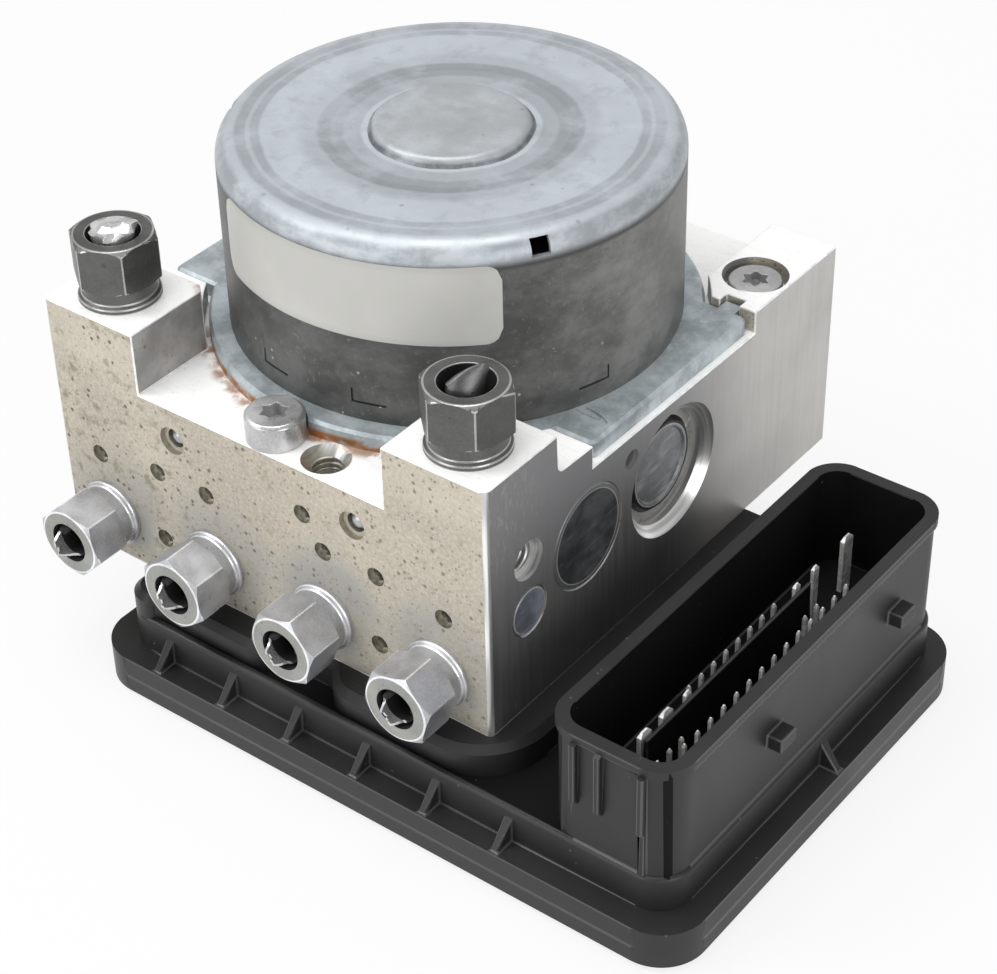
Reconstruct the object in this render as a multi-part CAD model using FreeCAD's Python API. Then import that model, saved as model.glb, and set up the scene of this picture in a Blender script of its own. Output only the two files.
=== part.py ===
import FreeCAD, Part
import math
import os

# Anti-lock brake module: an aluminium valve block with its pump motor on top and
# its control unit below. Sizes are millimetres.
# Frame: Z is the motor axis and points up, Z = 0 is the underside of the control
# unit's cover. X runs along the face with the four wheel lines, from left to right.
# Y runs from that face to the back.

V = FreeCAD.Vector
UP = V(0, 0, 1)
LEFTWARD = V(-1, 0, 0)
RIGHTWARD = V(1, 0, 0)
FORWARD = V(0, -1, 0)

# Valve block
BLOCK_WIDTH = 89.0
BLOCK_DEPTH = 96.6
BLOCK_CENTRE_X = -1.1
BLOCK_CENTRE_Y = -0.3
BLOCK_BASE = 18.5
SEAT_HEIGHT = 35.7
FRONT_POST_RISE = 11.2
LEDGE_RISE = 4.1
FRONT_POST_WIDTH = 19.4
FRONT_POST_DEPTH = 17.5
LEDGE_DEPTH = 9.0
LEDGE_FILLET = 1.6
REAR_POST_WIDTH = 12.6
REAR_POST_DEPTH = 25.0
REAR_POST_CORNER = 3.0
REAR_EDGE_CHAMFER = 2.2
FRONT_EDGE_ROUNDING = 1.0
TONGUE_X = 38.3
TONGUE_WIDTH = 3.2
TONGUE_REACH = 1.6
NOTCH_DEPTH = 2.1
NOTCH_GAP = 0.25

# Pipe ports and their nuts
WHEEL_PORT_PITCH = 23.0
WHEEL_PORT_HEIGHT = 8.4
WHEEL_PORT_R = 4.6
WHEEL_PORT_DEPTH = 9.0
WHEEL_NUT_FLATS = 11.6
WHEEL_NUT_BORE_R = 3.6
WHEEL_TUBE_R = 2.375
WHEEL_NUT_TURNS = (45.0, 36.0, 12.0, 14.0)
MASTER_PORT_OFFSET = 35.2
MASTER_PORT_INSET = 8.2
MASTER_PORT_R = 5.5
MASTER_PORT_DEPTH = 10.5
MASTER_NUT_FLATS = 13.0
MASTER_NUT_BORE_R = 4.4
MASTER_TUBE_R = 3.0
MASTER_NUT_TURNS = (-36.0, -43.0)
NUT_RING_HEIGHT = 0.8
NUT_NECK_HEIGHT = 3.4
WHEEL_NUT_HEIGHT = 10.6
MASTER_NUT_HEIGHT = 11.5
NUT_MOUTH_DEPTH = 6.0
NUT_TUBE_GAP = 0.15
THREAD_GAP = 0.05
TUBE_WALL = 0.8
FLARE_GROWTH = 1.2
FLARE_LENGTH = 1.6
STUB_REACH = 1.9
PINCH_LENGTH = 4.2
PINCH_THICKNESS = 1.3
PINCH_SPREAD = 1.22
PORT_CONE = 1.6
PORT_PASSAGE_R = 1.2
PORT_PASSAGE_LENGTH = 2.0

# Small drillings in the front face, each closed with a pressed ball:
# distance to each side of the middle, height above the block's base
DRILLING_R = 1.65
DRILLING_BORE_R = 1.2
DRILLING_DEPTH = 12.0
DRILLING_STEP = 1.0
DRILLING_PAIRS = ((35.9, 19.6), (22.8, 21.5), (22.8, 8.0), (12.2, 21.5))
DRILLING_SINGLE = (8.4, 27.1)
LARGE_DRILLING_R = 2.5
LARGE_DRILLING_BORE_R = 1.7
LARGE_DRILLING_OFFSET = 18.6
LARGE_DRILLING_HEIGHT = 29.5
BALL_DEPTH = 2.6

# Screws and threaded holes on the block
LEDGE_ROW_INSET = 4.6
CAP_SCREW_X = -1.1
LEDGE_HOLE_X = 9.0
CAP_HEAD_R = 4.8
CAP_HEAD_HEIGHT = 4.8
CAP_SHANK_R = 2.95
CAP_SHANK_LENGTH = 13.0
LEDGE_HOLE_R = 2.5
LEDGE_HOLE_DEPTH = 6.5
LEDGE_HOLE_SINK_R = 4.0
LEDGE_HOLE_SINK_DEPTH = 1.5
POST_SCREW_INSET_X = 6.2
POST_SCREW_INSET_Y = 15.4
POST_SINK_R = 5.6
POST_SINK_DEPTH = 3.4
POST_HEAD_R = 4.6
POST_HEAD_HEIGHT = 2.7
POST_SHANK_R = 2.45
POST_SHANK_LENGTH = 15.0
SIDE_MOUNT_INSET = 10.0
SIDE_MOUNT_HEIGHT = 28.6
SIDE_MOUNT_R = 2.5
SIDE_MOUNT_DEPTH = 11.0
SIDE_MOUNT_SINK_R = 3.5
SIDE_MOUNT_SINK_DEPTH = 1.6
SIDE_VENT_Y = -11.7
SIDE_VENT_HEIGHT = 31.0
SIDE_VENT_R = 1.8
SIDE_VENT_DEPTH = 7.0
SCREW_GAP = 0.05

# Pump: two opposed pistons driven by the eccentric
PUMP_HEIGHT = 21.9
CHAMBER_R = 11.0
CHAMBER_FLOOR = 15.0
PUMP_MOUTH_R = 11.7
PUMP_MOUTH_CHAMFER = 1.6
PUMP_STEP_R = 10.0
PUMP_STEP_DEPTH = 3.2
PUMP_CAP_R = 8.4
PUMP_CAP_RECESS = 2.4
PUMP_SLEEVE_R = 7.6
PUMP_SLEEVE_START = 12.2
PUMP_SLEEVE_END = 34.0
PISTON_R = 3.0
PISTON_LENGTH = 15.0
PISTON_STROKE = 2.4
SPRING_CHAMBER_START = 25.6
SPRING_CHAMBER_R = 4.2
ECCENTRICITY = 1.2
ECCENTRIC_R = 4.8
ECCENTRIC_RING_R = 8.0
ECCENTRIC_RING_WIDTH = 8.0
RUNNING_GAP = 0.04
PISTON_STANDOFF = 0.3
PUMP_SPRING_R = 2.2
PUMP_SPRING_WIRE_R = 0.4
PUMP_SPRING_TURNS = 5

# Low-pressure accumulators beside the pump
ACCUMULATOR_Y = -23.4
ACCUMULATOR_HEIGHT = 23.4
ACCUMULATOR_R = 9.1
ACCUMULATOR_DEPTH = 24.0
ACCUMULATOR_COVER = 1.8
ACCUMULATOR_PISTON_LENGTH = 9.0
ACCUMULATOR_PISTON_WALL = 1.6
ACCUMULATOR_STROKE = 8.0
ACCUMULATOR_SPRING_R = 5.4
ACCUMULATOR_SPRING_WIRE_R = 0.7
ACCUMULATOR_SPRING_TURNS = 5
SIDE_PLUG_INSET = 10.1
SIDE_PLUG_HEIGHT = 18.6
SIDE_PLUG_R = 4.4
SIDE_PLUG_LENGTH = 4.0

# Solenoid valves: inlet row in front, outlet row behind
VALVE_COLUMN_START = -15.0
VALVE_COLUMN_PITCH = 15.2
VALVE_COLUMNS = 4
INLET_ROW_Y = -32.0
OUTLET_ROW_Y = -16.0
VALVE_BODY_R = 4.4
VALVE_BODY_HEIGHT = 12.0
VALVE_FLANGE_R = 5.3
VALVE_FLANGE_HEIGHT = 1.6
DOME_R = 3.4
DOME_LENGTH = 9.6
DOME_WALL = 0.6
PLUNGER_HEAD_R = 2.75
PLUNGER_NEEDLE_R = 0.9
PLUNGER_TRAVEL = 0.3
VALVE_ORIFICE_R = 0.7
VALVE_SEAT_DEPTH = 3.0
COIL_R = 6.8
COIL_HEIGHT = 10.0
COIL_BORE_R = 3.45
COIL_FLANGE = 1.1
COIL_CORE_R = 5.7

# Pump motor
FLANGE_R = 40.8
FLANGE_THICKNESS = 3.0
FLANGE_SIDE_INSET = 1.2
FLANGE_FRONT_Y = -20.4
FLANGE_BACK_Y = 22.6
FLANGE_CORNER = 1.2
FLANGE_EDGE = 0.5
POST_CLEARANCE = 0.9
SPIGOT_DEPTH = 5.0
CAN_R = 38.0
CAN_TOP = 89.5
CAN_WALL = 1.5
CAN_SHOULDER = 2.8
DISH_OUTER_R = 25.0
DISH_INNER_R = 19.0
DISH_DEPTH = 0.7
BOSS_FOOT_R = 14.4
BOSS_R = 12.3
BOSS_RISE = 0.65
WINDOW_ANGLES = (-29.0, -157.0, 94.0)
WINDOW_WIDTH = 3.2
WINDOW_HEIGHT = 3.6
WINDOW_DEPTH = 1.6
CRIMP_ANGLES = (-101.0, -73.0, -17.0, 33.0, 79.0, 107.0, 163.0, -147.0)
CRIMP_WIDTH = 6.0
CRIMP_HEIGHT = 1.2
CRIMP_DEPTH = 0.6
CRIMP_LEVEL = 3.0
LABEL_THICKNESS = 0.15
LABEL_BOTTOM = 72.4
LABEL_TOP = 86.4
LABEL_START = -120.0
LABEL_END = -40.5
LABEL_CORNER = 2.6
SHAFT_R = 4.0
LOWER_BEARING_R = 8.0
LOWER_BEARING_WIDTH = 6.0
UPPER_BEARING_R = 7.0
UPPER_BEARING_WIDTH = 4.0
ARMATURE_R = 27.0
ARMATURE_HEIGHT = 13.0
ARMATURE_BOTTOM = 68.6
ARMATURE_SLOTS = 10
SLOT_WIDTH = 6.2
SLOT_INNER_R = 13.0
SLOT_GAP = 0.2
WINDING_HEAD = 2.4
MAGNET_INNER_R = 28.6
MAGNET_COUNT = 4
MAGNET_SPAN = 68.0
COMMUTATOR_R = 8.6
COMMUTATOR_HEIGHT = 7.0
BRUSH_PLATE_THICKNESS = 2.2
BRUSH_PLATE_R = 33.0
BRUSH_WIDTH = 5.0
BRUSH_HEIGHT = 5.0
BRUSH_LENGTH = 9.0
BRUSH_BOX_WALL = 1.0
STEM_X = 12.0
STEM_Y = 18.0
STEM_R = 3.0
STEM_GAP = 0.2

# Control unit: cover, housing and connector
COVER_HEIGHT = 3.8
COVER_FLOOR = 1.6
RIM_LEFT = -33.0
RIM_RIGHT = 85.2
RIM_FRONT = -59.8
RIM_BACK = 25.6
RIM_TOP = 7.7
RIM_CORNER = 8.0
WALL_LEFT = -29.0
WALL_RIGHT = 81.3
WALL_FRONT = -55.7
WALL_BACK = 24.0
WALL_TOP = 14.2
WALL_CORNER = 6.0
HOUSING_WALL = 2.0
TROUGH_FLOOR = 12.9
TROUGH_LIP = 1.1
DECK_UNDERSIDE = 11.3
WALL_ROUNDING = 0.8
PEDESTAL_LEFT = -28.6
PEDESTAL_RIGHT = 48.8
PEDESTAL_FRONT = -54.0
PEDESTAL_SHOULDER_X = -23.0
PEDESTAL_SHOULDER_FRONT = -55.3
PEDESTAL_SHOULDER_CORNER = 4.5
PEDESTAL_SHOULDER_R = 2.0
PEDESTAL_CORNER = 12.5
PEDESTAL_EDGE = 1.2
WAVE_START_X = -0.5
WAVE_END_X = 16.0
WAVE_DEPTH = 4.5
WAVE_SLOPE = 4.0
WAVE_OUTER_R = 6.0
WAVE_INNER_R = 3.0
WINDOW_MARGIN = 0.8
SEAL_WIDTH = 1.6
SEAL_DEPTH = 1.3
SEAL_CORNER = 7.0
SOCKET_LEFT = 58.2
SOCKET_INSET = 0.6
SOCKET_TOP = 35.5
SOCKET_WALL = 1.7
SOCKET_CORNER = 5.5
SOCKET_FLOOR = 17.0
SOCKET_LIP = 0.5
SOCKET_LIP_HEIGHT = 1.6
GUSSET_START = -19.0
GUSSET_PITCH = 14.0
GUSSET_COUNT = 6
GUSSET_THICKNESS = 1.4
GUSSET_HEIGHT = 4.6
SIDE_GUSSET_Y = -14.0
END_RIB_OFFSETS = (5.2, 9.6, 17.2)
FAR_RIB_OFFSETS = (9.6, 17.2)
END_RIB_BOTTOM = 21.6
END_RIB_DEPTH = 1.2
END_RIB_WIDTH = 1.1
CORNER_LINE_DEPTH = 0.35
PARTITION_X = 67.6
PARTITION_THICKNESS = 0.7
PARTITION_FRONT = -43.0
PARTITION_BACK = 3.0
PARTITION_TOP = 27.2
PEG_PLACES_Y = (-29.5, 6.0)
PEG_BOTTOM = 22.6
PEG_REACH = 2.6
PEG_WIDTH = 4.2
PEG_HEIGHT = 2.6
UNIT_SCREW_LEFT_X = -24.0
UNIT_SCREW_RIGHT_X = 39.8
UNIT_SCREW_FRONT_Y = -44.6
UNIT_SCREW_BACK_Y = 17.6
UNIT_SCREW_R = 2.0
UNIT_SCREW_GRIP = 5.4
UNIT_HEAD_R = 3.6
UNIT_HEAD_HEIGHT = 2.6
UNIT_HEAD_SEAT = 8.0
UNIT_BOSS_R = 4.6
BOARD_BOTTOM = 4.6
BOARD_THICKNESS = 1.6
BOARD_GAP = 0.5
BOARD_POST_R = 2.2
BLADE_X = 67.0
BLADE_PLACES_Y = (-41.9, -36.2, 15.9)
BLADE_SIDE_X = 75.2
BLADE_TIP = 28.0
BLADE_WIDTH = 2.8
BLADE_THICKNESS = 0.8
TALL_PIN_PLACES_Y = (-32.0, 0.5, 6.1)
TALL_PIN_WIDTH = 1.5
PIN_X = 71.4
PIN_START_Y = -37.7
PIN_PITCH = 3.57
PIN_COUNT = 14
PIN_TIP = 24.0
PIN_WIDTH = 0.64
HIDDEN_PIN_START_Y = -27.3
HIDDEN_PIN_PITCH = 3.45
HIDDEN_PIN_COUNT = 8
HIDDEN_PIN_TIP = 27.7
SHORT_PIN_X = 69.7
SHORT_PIN_PLACES_Y = (-42.3, -39.2, -35.9, -0.9, 2.6)
SHORT_PIN_TIP = 23.6

# Places worked out from the sizes above
BLOCK_LEFT = BLOCK_CENTRE_X - BLOCK_WIDTH / 2
BLOCK_RIGHT = BLOCK_CENTRE_X + BLOCK_WIDTH / 2
BLOCK_FRONT = BLOCK_CENTRE_Y - BLOCK_DEPTH / 2
BLOCK_BACK = BLOCK_CENTRE_Y + BLOCK_DEPTH / 2
SEAT = BLOCK_BASE + SEAT_HEIGHT
POST_TOP = SEAT + FRONT_POST_RISE
LEDGE_TOP = SEAT + LEDGE_RISE
PUMP_Z = BLOCK_BASE + PUMP_HEIGHT
ACCUMULATOR_Z = BLOCK_BASE + ACCUMULATOR_HEIGHT
FLANGE_TOP = SEAT + FLANGE_THICKNESS
MASTER_PORT_Y = BLOCK_FRONT + MASTER_PORT_INSET
LEDGE_ROW_Y = BLOCK_FRONT + LEDGE_ROW_INSET
POST_SCREW_X = BLOCK_RIGHT - POST_SCREW_INSET_X
POST_SCREW_Y = BLOCK_BACK - POST_SCREW_INSET_Y
BOARD_TOP = BOARD_BOTTOM + BOARD_THICKNESS
VALVE_XS = [VALVE_COLUMN_START + k * VALVE_COLUMN_PITCH for k in range(VALVE_COLUMNS)]
PISTON_REST = ECCENTRIC_RING_R + ECCENTRICITY + PISTON_STANDOFF
SIDES = ((LEFTWARD, "left"), (RIGHTWARD, "right"))


def box(x0, x1, y0, y1, z0, z1):
    return Part.makeBox(x1 - x0, y1 - y0, z1 - z0, V(x0, y0, z0))


def rod(radius, length, base, direction=UP):
    return Part.makeCylinder(radius, length, base, direction)


def placed(shape, base, direction):
    """Stand a shape that was made along +Z on a base point, along a direction."""
    result = shape.copy()
    turn = FreeCAD.Rotation(UP, direction)
    result.Placement = FreeCAD.Placement(base, turn).multiply(result.Placement)
    return result


def turned(profile):
    """Revolve a closed outline of (radius, height) points about Z."""
    points = [V(r, 0, h) for r, h in profile]
    wire = Part.makePolygon(points + [points[0]])
    return Part.Face(wire).revolve(V(0, 0, 0), UP, 360)


def rounded_slab(x0, x1, y0, y1, z0, z1, radius):
    """Upright slab whose four corners are rounded."""
    slab = box(x0, x1, y0, y1, z0, z1)
    upright = [e for e in slab.Edges if abs(e.BoundBox.ZLength - (z1 - z0)) < 1e-6]
    return slab.makeFillet(radius, upright)


def joined(shapes):
    result = shapes[0]
    if len(shapes) > 1:
        result = shapes[0].fuse(shapes[1:])
    return result.removeSplitter()


def bored(shape, tools):
    return shape.cut(tools).removeSplitter()


def group(shapes):
    return Part.makeCompound(shapes)


def hexagon(flats, height, turn):
    """Six-sided bar along Z with both ends chamfered by a cone."""
    corner_r = flats / math.sqrt(3)
    corners = []
    for k in range(6):
        angle = math.radians(turn + 60 * k)
        corners.append(V(corner_r * math.cos(angle), corner_r * math.sin(angle), 0))
    bar = Part.Face(Part.makePolygon(corners + [corners[0]])).extrude(V(0, 0, height))
    flat_r = flats / 2 * 0.98
    drop = (corner_r - flat_r) * 0.6
    lathe = turned([(0, 0), (flat_r, 0), (corner_r, drop), (corner_r, height - drop),
                    (flat_r, height), (0, height)])
    return bar.common(lathe)


def star_socket(radius, depth, top):
    """Six-lobed driving recess, cut downwards from a level."""
    points = []
    for k in range(12):
        angle = math.radians(30 * k)
        reach = radius if k % 2 == 0 else radius * 0.68
        points.append(V(reach * math.cos(angle), reach * math.sin(angle), top - depth))
    face = Part.Face(Part.makePolygon(points + [points[0]]))
    return face.extrude(V(0, 0, depth))


def coil_spring(radius, wire_r, length, turns):
    """Compression spring along Z from 0, with plain ends."""
    rise = length - 2 * wire_r
    helix = Part.makeHelix(rise / turns, rise, radius)
    ring = Part.makeCircle(wire_r, V(radius, 0, 0), V(0, 1, 0))
    spring = Part.Wire(helix.Edges).makePipeShell([Part.Wire([ring])], True, True)
    spring.translate(V(0, 0, wire_r))
    return spring


# Valve block

def block_blank():
    """Body, two front posts with the ledge behind each, and the rear right post."""
    parts = [box(BLOCK_LEFT, BLOCK_RIGHT, BLOCK_FRONT, BLOCK_BACK, BLOCK_BASE, SEAT)]
    post_back = BLOCK_FRONT + FRONT_POST_DEPTH
    ledge_back = post_back + LEDGE_DEPTH
    for x0, x1 in ((BLOCK_LEFT, BLOCK_LEFT + FRONT_POST_WIDTH),
                   (BLOCK_RIGHT - FRONT_POST_WIDTH, BLOCK_RIGHT)):
        parts.append(box(x0, x1, BLOCK_FRONT, post_back, SEAT, POST_TOP))
        parts.append(box(x0, x1, post_back, ledge_back, SEAT, LEDGE_TOP))
        parts.append(ledge_cove(x0, x1, post_back))
    rear_left = BLOCK_RIGHT - REAR_POST_WIDTH
    rear_front = BLOCK_BACK - REAR_POST_DEPTH
    corner = Part.makePolygon([V(rear_left, rear_front + REAR_POST_CORNER, SEAT),
                               V(rear_left + REAR_POST_CORNER, rear_front, SEAT),
                               V(BLOCK_RIGHT, rear_front, SEAT),
                               V(BLOCK_RIGHT, BLOCK_BACK, SEAT),
                               V(rear_left, BLOCK_BACK, SEAT),
                               V(rear_left, rear_front + REAR_POST_CORNER, SEAT)])
    parts.append(Part.Face(corner).extrude(V(0, 0, LEDGE_RISE)))
    blank = joined(parts)
    front_edges = [e for e in blank.Edges if abs(e.BoundBox.YMax - BLOCK_FRONT) < 1e-6
                   and e.BoundBox.ZMin < BLOCK_BASE + 1e-6 and e.BoundBox.XLength < 1e-6]
    blank = blank.makeFillet(FRONT_EDGE_ROUNDING, front_edges)
    notch = box(TONGUE_X - TONGUE_WIDTH / 2 - NOTCH_GAP, TONGUE_X + TONGUE_WIDTH / 2 + NOTCH_GAP,
                rear_front, rear_front + NOTCH_DEPTH, SEAT, LEDGE_TOP)
    room = rod(FLANGE_R + POST_CLEARANCE, FRONT_POST_RISE + 1, V(0, 0, SEAT))
    edge = Part.makePolygon([V(BLOCK_LEFT, BLOCK_BACK, SEAT),
                             V(BLOCK_LEFT, BLOCK_BACK - REAR_EDGE_CHAMFER, SEAT),
                             V(BLOCK_LEFT, BLOCK_BACK, SEAT - REAR_EDGE_CHAMFER),
                             V(BLOCK_LEFT, BLOCK_BACK, SEAT)])
    chamfer = Part.Face(edge).extrude(V(rear_left - BLOCK_LEFT, 0, 0))
    return blank.cut([room, chamfer, notch])


def ledge_cove(x0, x1, y):
    """Small hollow fillet where a post's back wall meets its ledge."""
    r = LEDGE_FILLET
    strip = box(x0, x1, y, y + r, LEDGE_TOP, LEDGE_TOP + r)
    return strip.cut(rod(r, x1 - x0, V(x0, y + r, LEDGE_TOP + r), RIGHTWARD))


def wheel_port_places():
    z = BLOCK_BASE + WHEEL_PORT_HEIGHT
    return [V(BLOCK_CENTRE_X + (k - 1.5) * WHEEL_PORT_PITCH, BLOCK_FRONT, z) for k in range(4)]


def master_port_places():
    return [V(BLOCK_CENTRE_X + side * MASTER_PORT_OFFSET, MASTER_PORT_Y, POST_TOP)
            for side in (-1, 1)]


def port_tool(radius, depth):
    """Threaded bore with the cone that the tube's flare seats on, sunk below Z = 0."""
    tip = -depth - PORT_CONE
    end = tip - PORT_PASSAGE_LENGTH
    return turned([(0, 0), (radius, 0), (radius, -depth), (radius - PORT_CONE, tip),
                   (PORT_PASSAGE_R, tip), (PORT_PASSAGE_R, end), (0, end)])


def drilling_places():
    small = []
    for offset, height in DRILLING_PAIRS:
        for side in (-1, 1):
            small.append(V(BLOCK_CENTRE_X + side * offset, BLOCK_FRONT, BLOCK_BASE + height))
    offset, height = DRILLING_SINGLE
    small.append(V(BLOCK_CENTRE_X + offset, BLOCK_FRONT, BLOCK_BASE + height))
    large = [V(BLOCK_CENTRE_X + side * LARGE_DRILLING_OFFSET, BLOCK_FRONT,
               BLOCK_BASE + LARGE_DRILLING_HEIGHT) for side in (-1, 1)]
    return small, large


def drilling_tool(mouth_r, bore_r):
    seat = BALL_DEPTH + bore_r
    return turned([(0, 0), (mouth_r, 0), (mouth_r, -DRILLING_STEP), (bore_r, -DRILLING_STEP),
                   (bore_r, -seat), (bore_r * 0.7, -seat), (bore_r * 0.7, -DRILLING_DEPTH),
                   (0, -DRILLING_DEPTH)])


def side_tools(direction):
    """All bores that enter from one side face."""
    face_x = BLOCK_RIGHT if direction.x > 0 else BLOCK_LEFT
    inward = direction * -1
    reach = abs(face_x)
    cap_bottom = reach - PUMP_SLEEVE_END
    pump = turned([(0, 0), (PUMP_MOUTH_R, 0),
                   (PUMP_MOUTH_R - PUMP_MOUTH_CHAMFER, -PUMP_MOUTH_CHAMFER),
                   (PUMP_STEP_R, -PUMP_STEP_DEPTH), (PUMP_CAP_R, -PUMP_STEP_DEPTH),
                   (PUMP_CAP_R, -cap_bottom), (PUMP_SLEEVE_R, -cap_bottom),
                   (PUMP_SLEEVE_R, -reach), (0, -reach)])
    tools = [placed(pump, V(face_x, 0, PUMP_Z), direction)]
    tools.append(rod(ACCUMULATOR_R, ACCUMULATOR_DEPTH,
                     V(face_x, ACCUMULATOR_Y, ACCUMULATOR_Z), inward))
    tools.append(rod(SIDE_PLUG_R, SIDE_PLUG_LENGTH,
                     V(face_x, BLOCK_FRONT + SIDE_PLUG_INSET, BLOCK_BASE + SIDE_PLUG_HEIGHT),
                     inward))
    mount = V(face_x, BLOCK_FRONT + SIDE_MOUNT_INSET, BLOCK_BASE + SIDE_MOUNT_HEIGHT)
    tools.append(rod(SIDE_MOUNT_SINK_R, SIDE_MOUNT_SINK_DEPTH, mount, inward))
    tools.append(rod(SIDE_MOUNT_R, SIDE_MOUNT_DEPTH, mount, inward))
    tools.append(rod(SIDE_VENT_R, SIDE_VENT_DEPTH,
                     V(face_x, SIDE_VENT_Y, BLOCK_BASE + SIDE_VENT_HEIGHT), inward))
    return tools


def top_tools():
    """Bores that enter from above: screws, motor spigot, eccentric chamber and motor plug."""
    down = V(0, 0, -1)
    tools = [rod(CAP_SHANK_R + SCREW_GAP, CAP_SHANK_LENGTH + 1, V(CAP_SCREW_X, LEDGE_ROW_Y, SEAT),
                 down)]
    sink = turned([(0, 0), (LEDGE_HOLE_SINK_R, 0), (LEDGE_HOLE_R, -LEDGE_HOLE_SINK_DEPTH),
                   (LEDGE_HOLE_R, -LEDGE_HOLE_DEPTH), (0, -LEDGE_HOLE_DEPTH)])
    tools.append(placed(sink, V(LEDGE_HOLE_X, LEDGE_ROW_Y, SEAT), UP))
    post = V(POST_SCREW_X, POST_SCREW_Y, LEDGE_TOP)
    tools.append(rod(POST_SINK_R, POST_SINK_DEPTH, post, down))
    tools.append(rod(POST_SHANK_R + SCREW_GAP, POST_SINK_DEPTH + POST_SHANK_LENGTH + 1, post, down))
    tools.append(rod(CHAMBER_R, SEAT_HEIGHT - CHAMBER_FLOOR, V(0, 0, SEAT), down))
    tools.append(rod(STEM_R + STEM_GAP, SEAT_HEIGHT, V(STEM_X, STEM_Y, SEAT), down))
    return tools


def valve_tools():
    tools = []
    for y in (INLET_ROW_Y, OUTLET_ROW_Y):
        for x in VALVE_XS:
            foot = V(x, y, BLOCK_BASE)
            tools.append(rod(VALVE_FLANGE_R, VALVE_FLANGE_HEIGHT, foot))
            tools.append(rod(VALVE_BODY_R, VALVE_BODY_HEIGHT, foot))
            tools.append(rod(VALVE_ORIFICE_R, VALVE_BODY_HEIGHT + 2, foot))
    return tools


def unit_screw_places():
    return [(x, y) for x in (UNIT_SCREW_LEFT_X, UNIT_SCREW_RIGHT_X)
            for y in (UNIT_SCREW_FRONT_Y, UNIT_SCREW_BACK_Y)]


def valve_block():
    tools = []
    for place in wheel_port_places():
        tools.append(placed(port_tool(WHEEL_PORT_R, WHEEL_PORT_DEPTH), place, FORWARD))
    for place in master_port_places():
        tools.append(placed(port_tool(MASTER_PORT_R, MASTER_PORT_DEPTH), place, UP))
    small, large = drilling_places()
    for place in small:
        tools.append(placed(drilling_tool(DRILLING_R, DRILLING_BORE_R), place, FORWARD))
    for place in large:
        tool = drilling_tool(LARGE_DRILLING_R, LARGE_DRILLING_BORE_R)
        tools.append(placed(tool, place, FORWARD))
    for direction, name in SIDES:
        tools.extend(side_tools(direction))
    tools.extend(top_tools())
    tools.extend(valve_tools())
    for x, y in unit_screw_places():
        tools.append(rod(UNIT_SCREW_R + SCREW_GAP, UNIT_SCREW_GRIP + 0.6, V(x, y, BLOCK_BASE)))
    return bored(block_blank(), tools)


# Pipe nuts and the cut tube ends

def pipe_nut(flats, port_r, depth, height, mouth_r, tube_r, turn):
    """Nut along +Z from the port's face at Z = 0, with its threaded shank below."""
    neck_r = flats / 2 * 0.94
    ring_r = flats / 2 * 1.04
    hex_bottom = NUT_NECK_HEIGHT
    body = turned([(0, -depth), (port_r - THREAD_GAP, -depth), (port_r - THREAD_GAP, 0),
                   (ring_r, 0), (ring_r, NUT_RING_HEIGHT), (neck_r, NUT_RING_HEIGHT + 0.5),
                   (neck_r, hex_bottom + 0.5), (0, hex_bottom + 0.5)])
    head = hexagon(flats, height - hex_bottom, turn)
    head.translate(V(0, 0, hex_bottom))
    through = rod(tube_r + NUT_TUBE_GAP, depth + height + 1, V(0, 0, -depth))
    mouth = rod(mouth_r, NUT_MOUTH_DEPTH + 1, V(0, 0, height - NUT_MOUTH_DEPTH))
    return bored(joined([body, head]), [through, mouth])


def cut_tube(tube_r, port_r, depth, height, turn):
    """Flared brake tube in its port, cut off and pinched flat just outside the nut."""
    flare_r = tube_r + FLARE_GROWTH
    nut_end = -depth + FLARE_LENGTH
    bore_r = tube_r - TUBE_WALL
    foot = -depth
    pinch_start = height - PINCH_LENGTH + STUB_REACH
    straight = turned([(bore_r, foot), (flare_r - 0.6, foot), (flare_r, foot + 0.5),
                       (flare_r, nut_end - 0.4), (tube_r, nut_end), (tube_r, pinch_start),
                       (bore_r, pinch_start)])
    round_end = Part.Wire([Part.makeCircle(tube_r, V(0, 0, pinch_start))])
    flat = Part.Ellipse(V(0, 0, pinch_start + PINCH_LENGTH), tube_r * PINCH_SPREAD,
                        PINCH_THICKNESS / 2)
    flat_end = Part.Wire([flat.toShape()])
    pinch = Part.makeLoft([round_end, flat_end], True)
    tube = straight.fuse(pinch).removeSplitter()
    tube.rotate(V(0, 0, 0), UP, turn)
    return tube


def wheel_line_nuts():
    nuts = []
    for place, turn in zip(wheel_port_places(), WHEEL_NUT_TURNS):
        nut = pipe_nut(WHEEL_NUT_FLATS, WHEEL_PORT_R, WHEEL_PORT_DEPTH - FLARE_LENGTH,
                       WHEEL_NUT_HEIGHT, WHEEL_NUT_BORE_R, WHEEL_TUBE_R, turn)
        nuts.append(placed(nut, place, FORWARD))
    return group(nuts)


def master_line_nuts():
    nuts = []
    for place, turn in zip(master_port_places(), MASTER_NUT_TURNS):
        nut = pipe_nut(MASTER_NUT_FLATS, MASTER_PORT_R, MASTER_PORT_DEPTH - FLARE_LENGTH,
                       MASTER_NUT_HEIGHT, MASTER_NUT_BORE_R, MASTER_TUBE_R, turn)
        nuts.append(placed(nut, place, UP))
    return group(nuts)


def tube_ends():
    tubes = []
    for place, turn in zip(wheel_port_places(), (-40.0, -42.0, -44.0, -46.0)):
        tube = cut_tube(WHEEL_TUBE_R, WHEEL_PORT_R, WHEEL_PORT_DEPTH, WHEEL_NUT_HEIGHT, turn)
        tubes.append(placed(tube, place, FORWARD))
    for place, turn in zip(master_port_places(), (60.0, 92.0)):
        tube = cut_tube(MASTER_TUBE_R, MASTER_PORT_R, MASTER_PORT_DEPTH, MASTER_NUT_HEIGHT, turn)
        tubes.append(placed(tube, place, UP))
    return group(tubes)


# Plugs and screws

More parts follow.
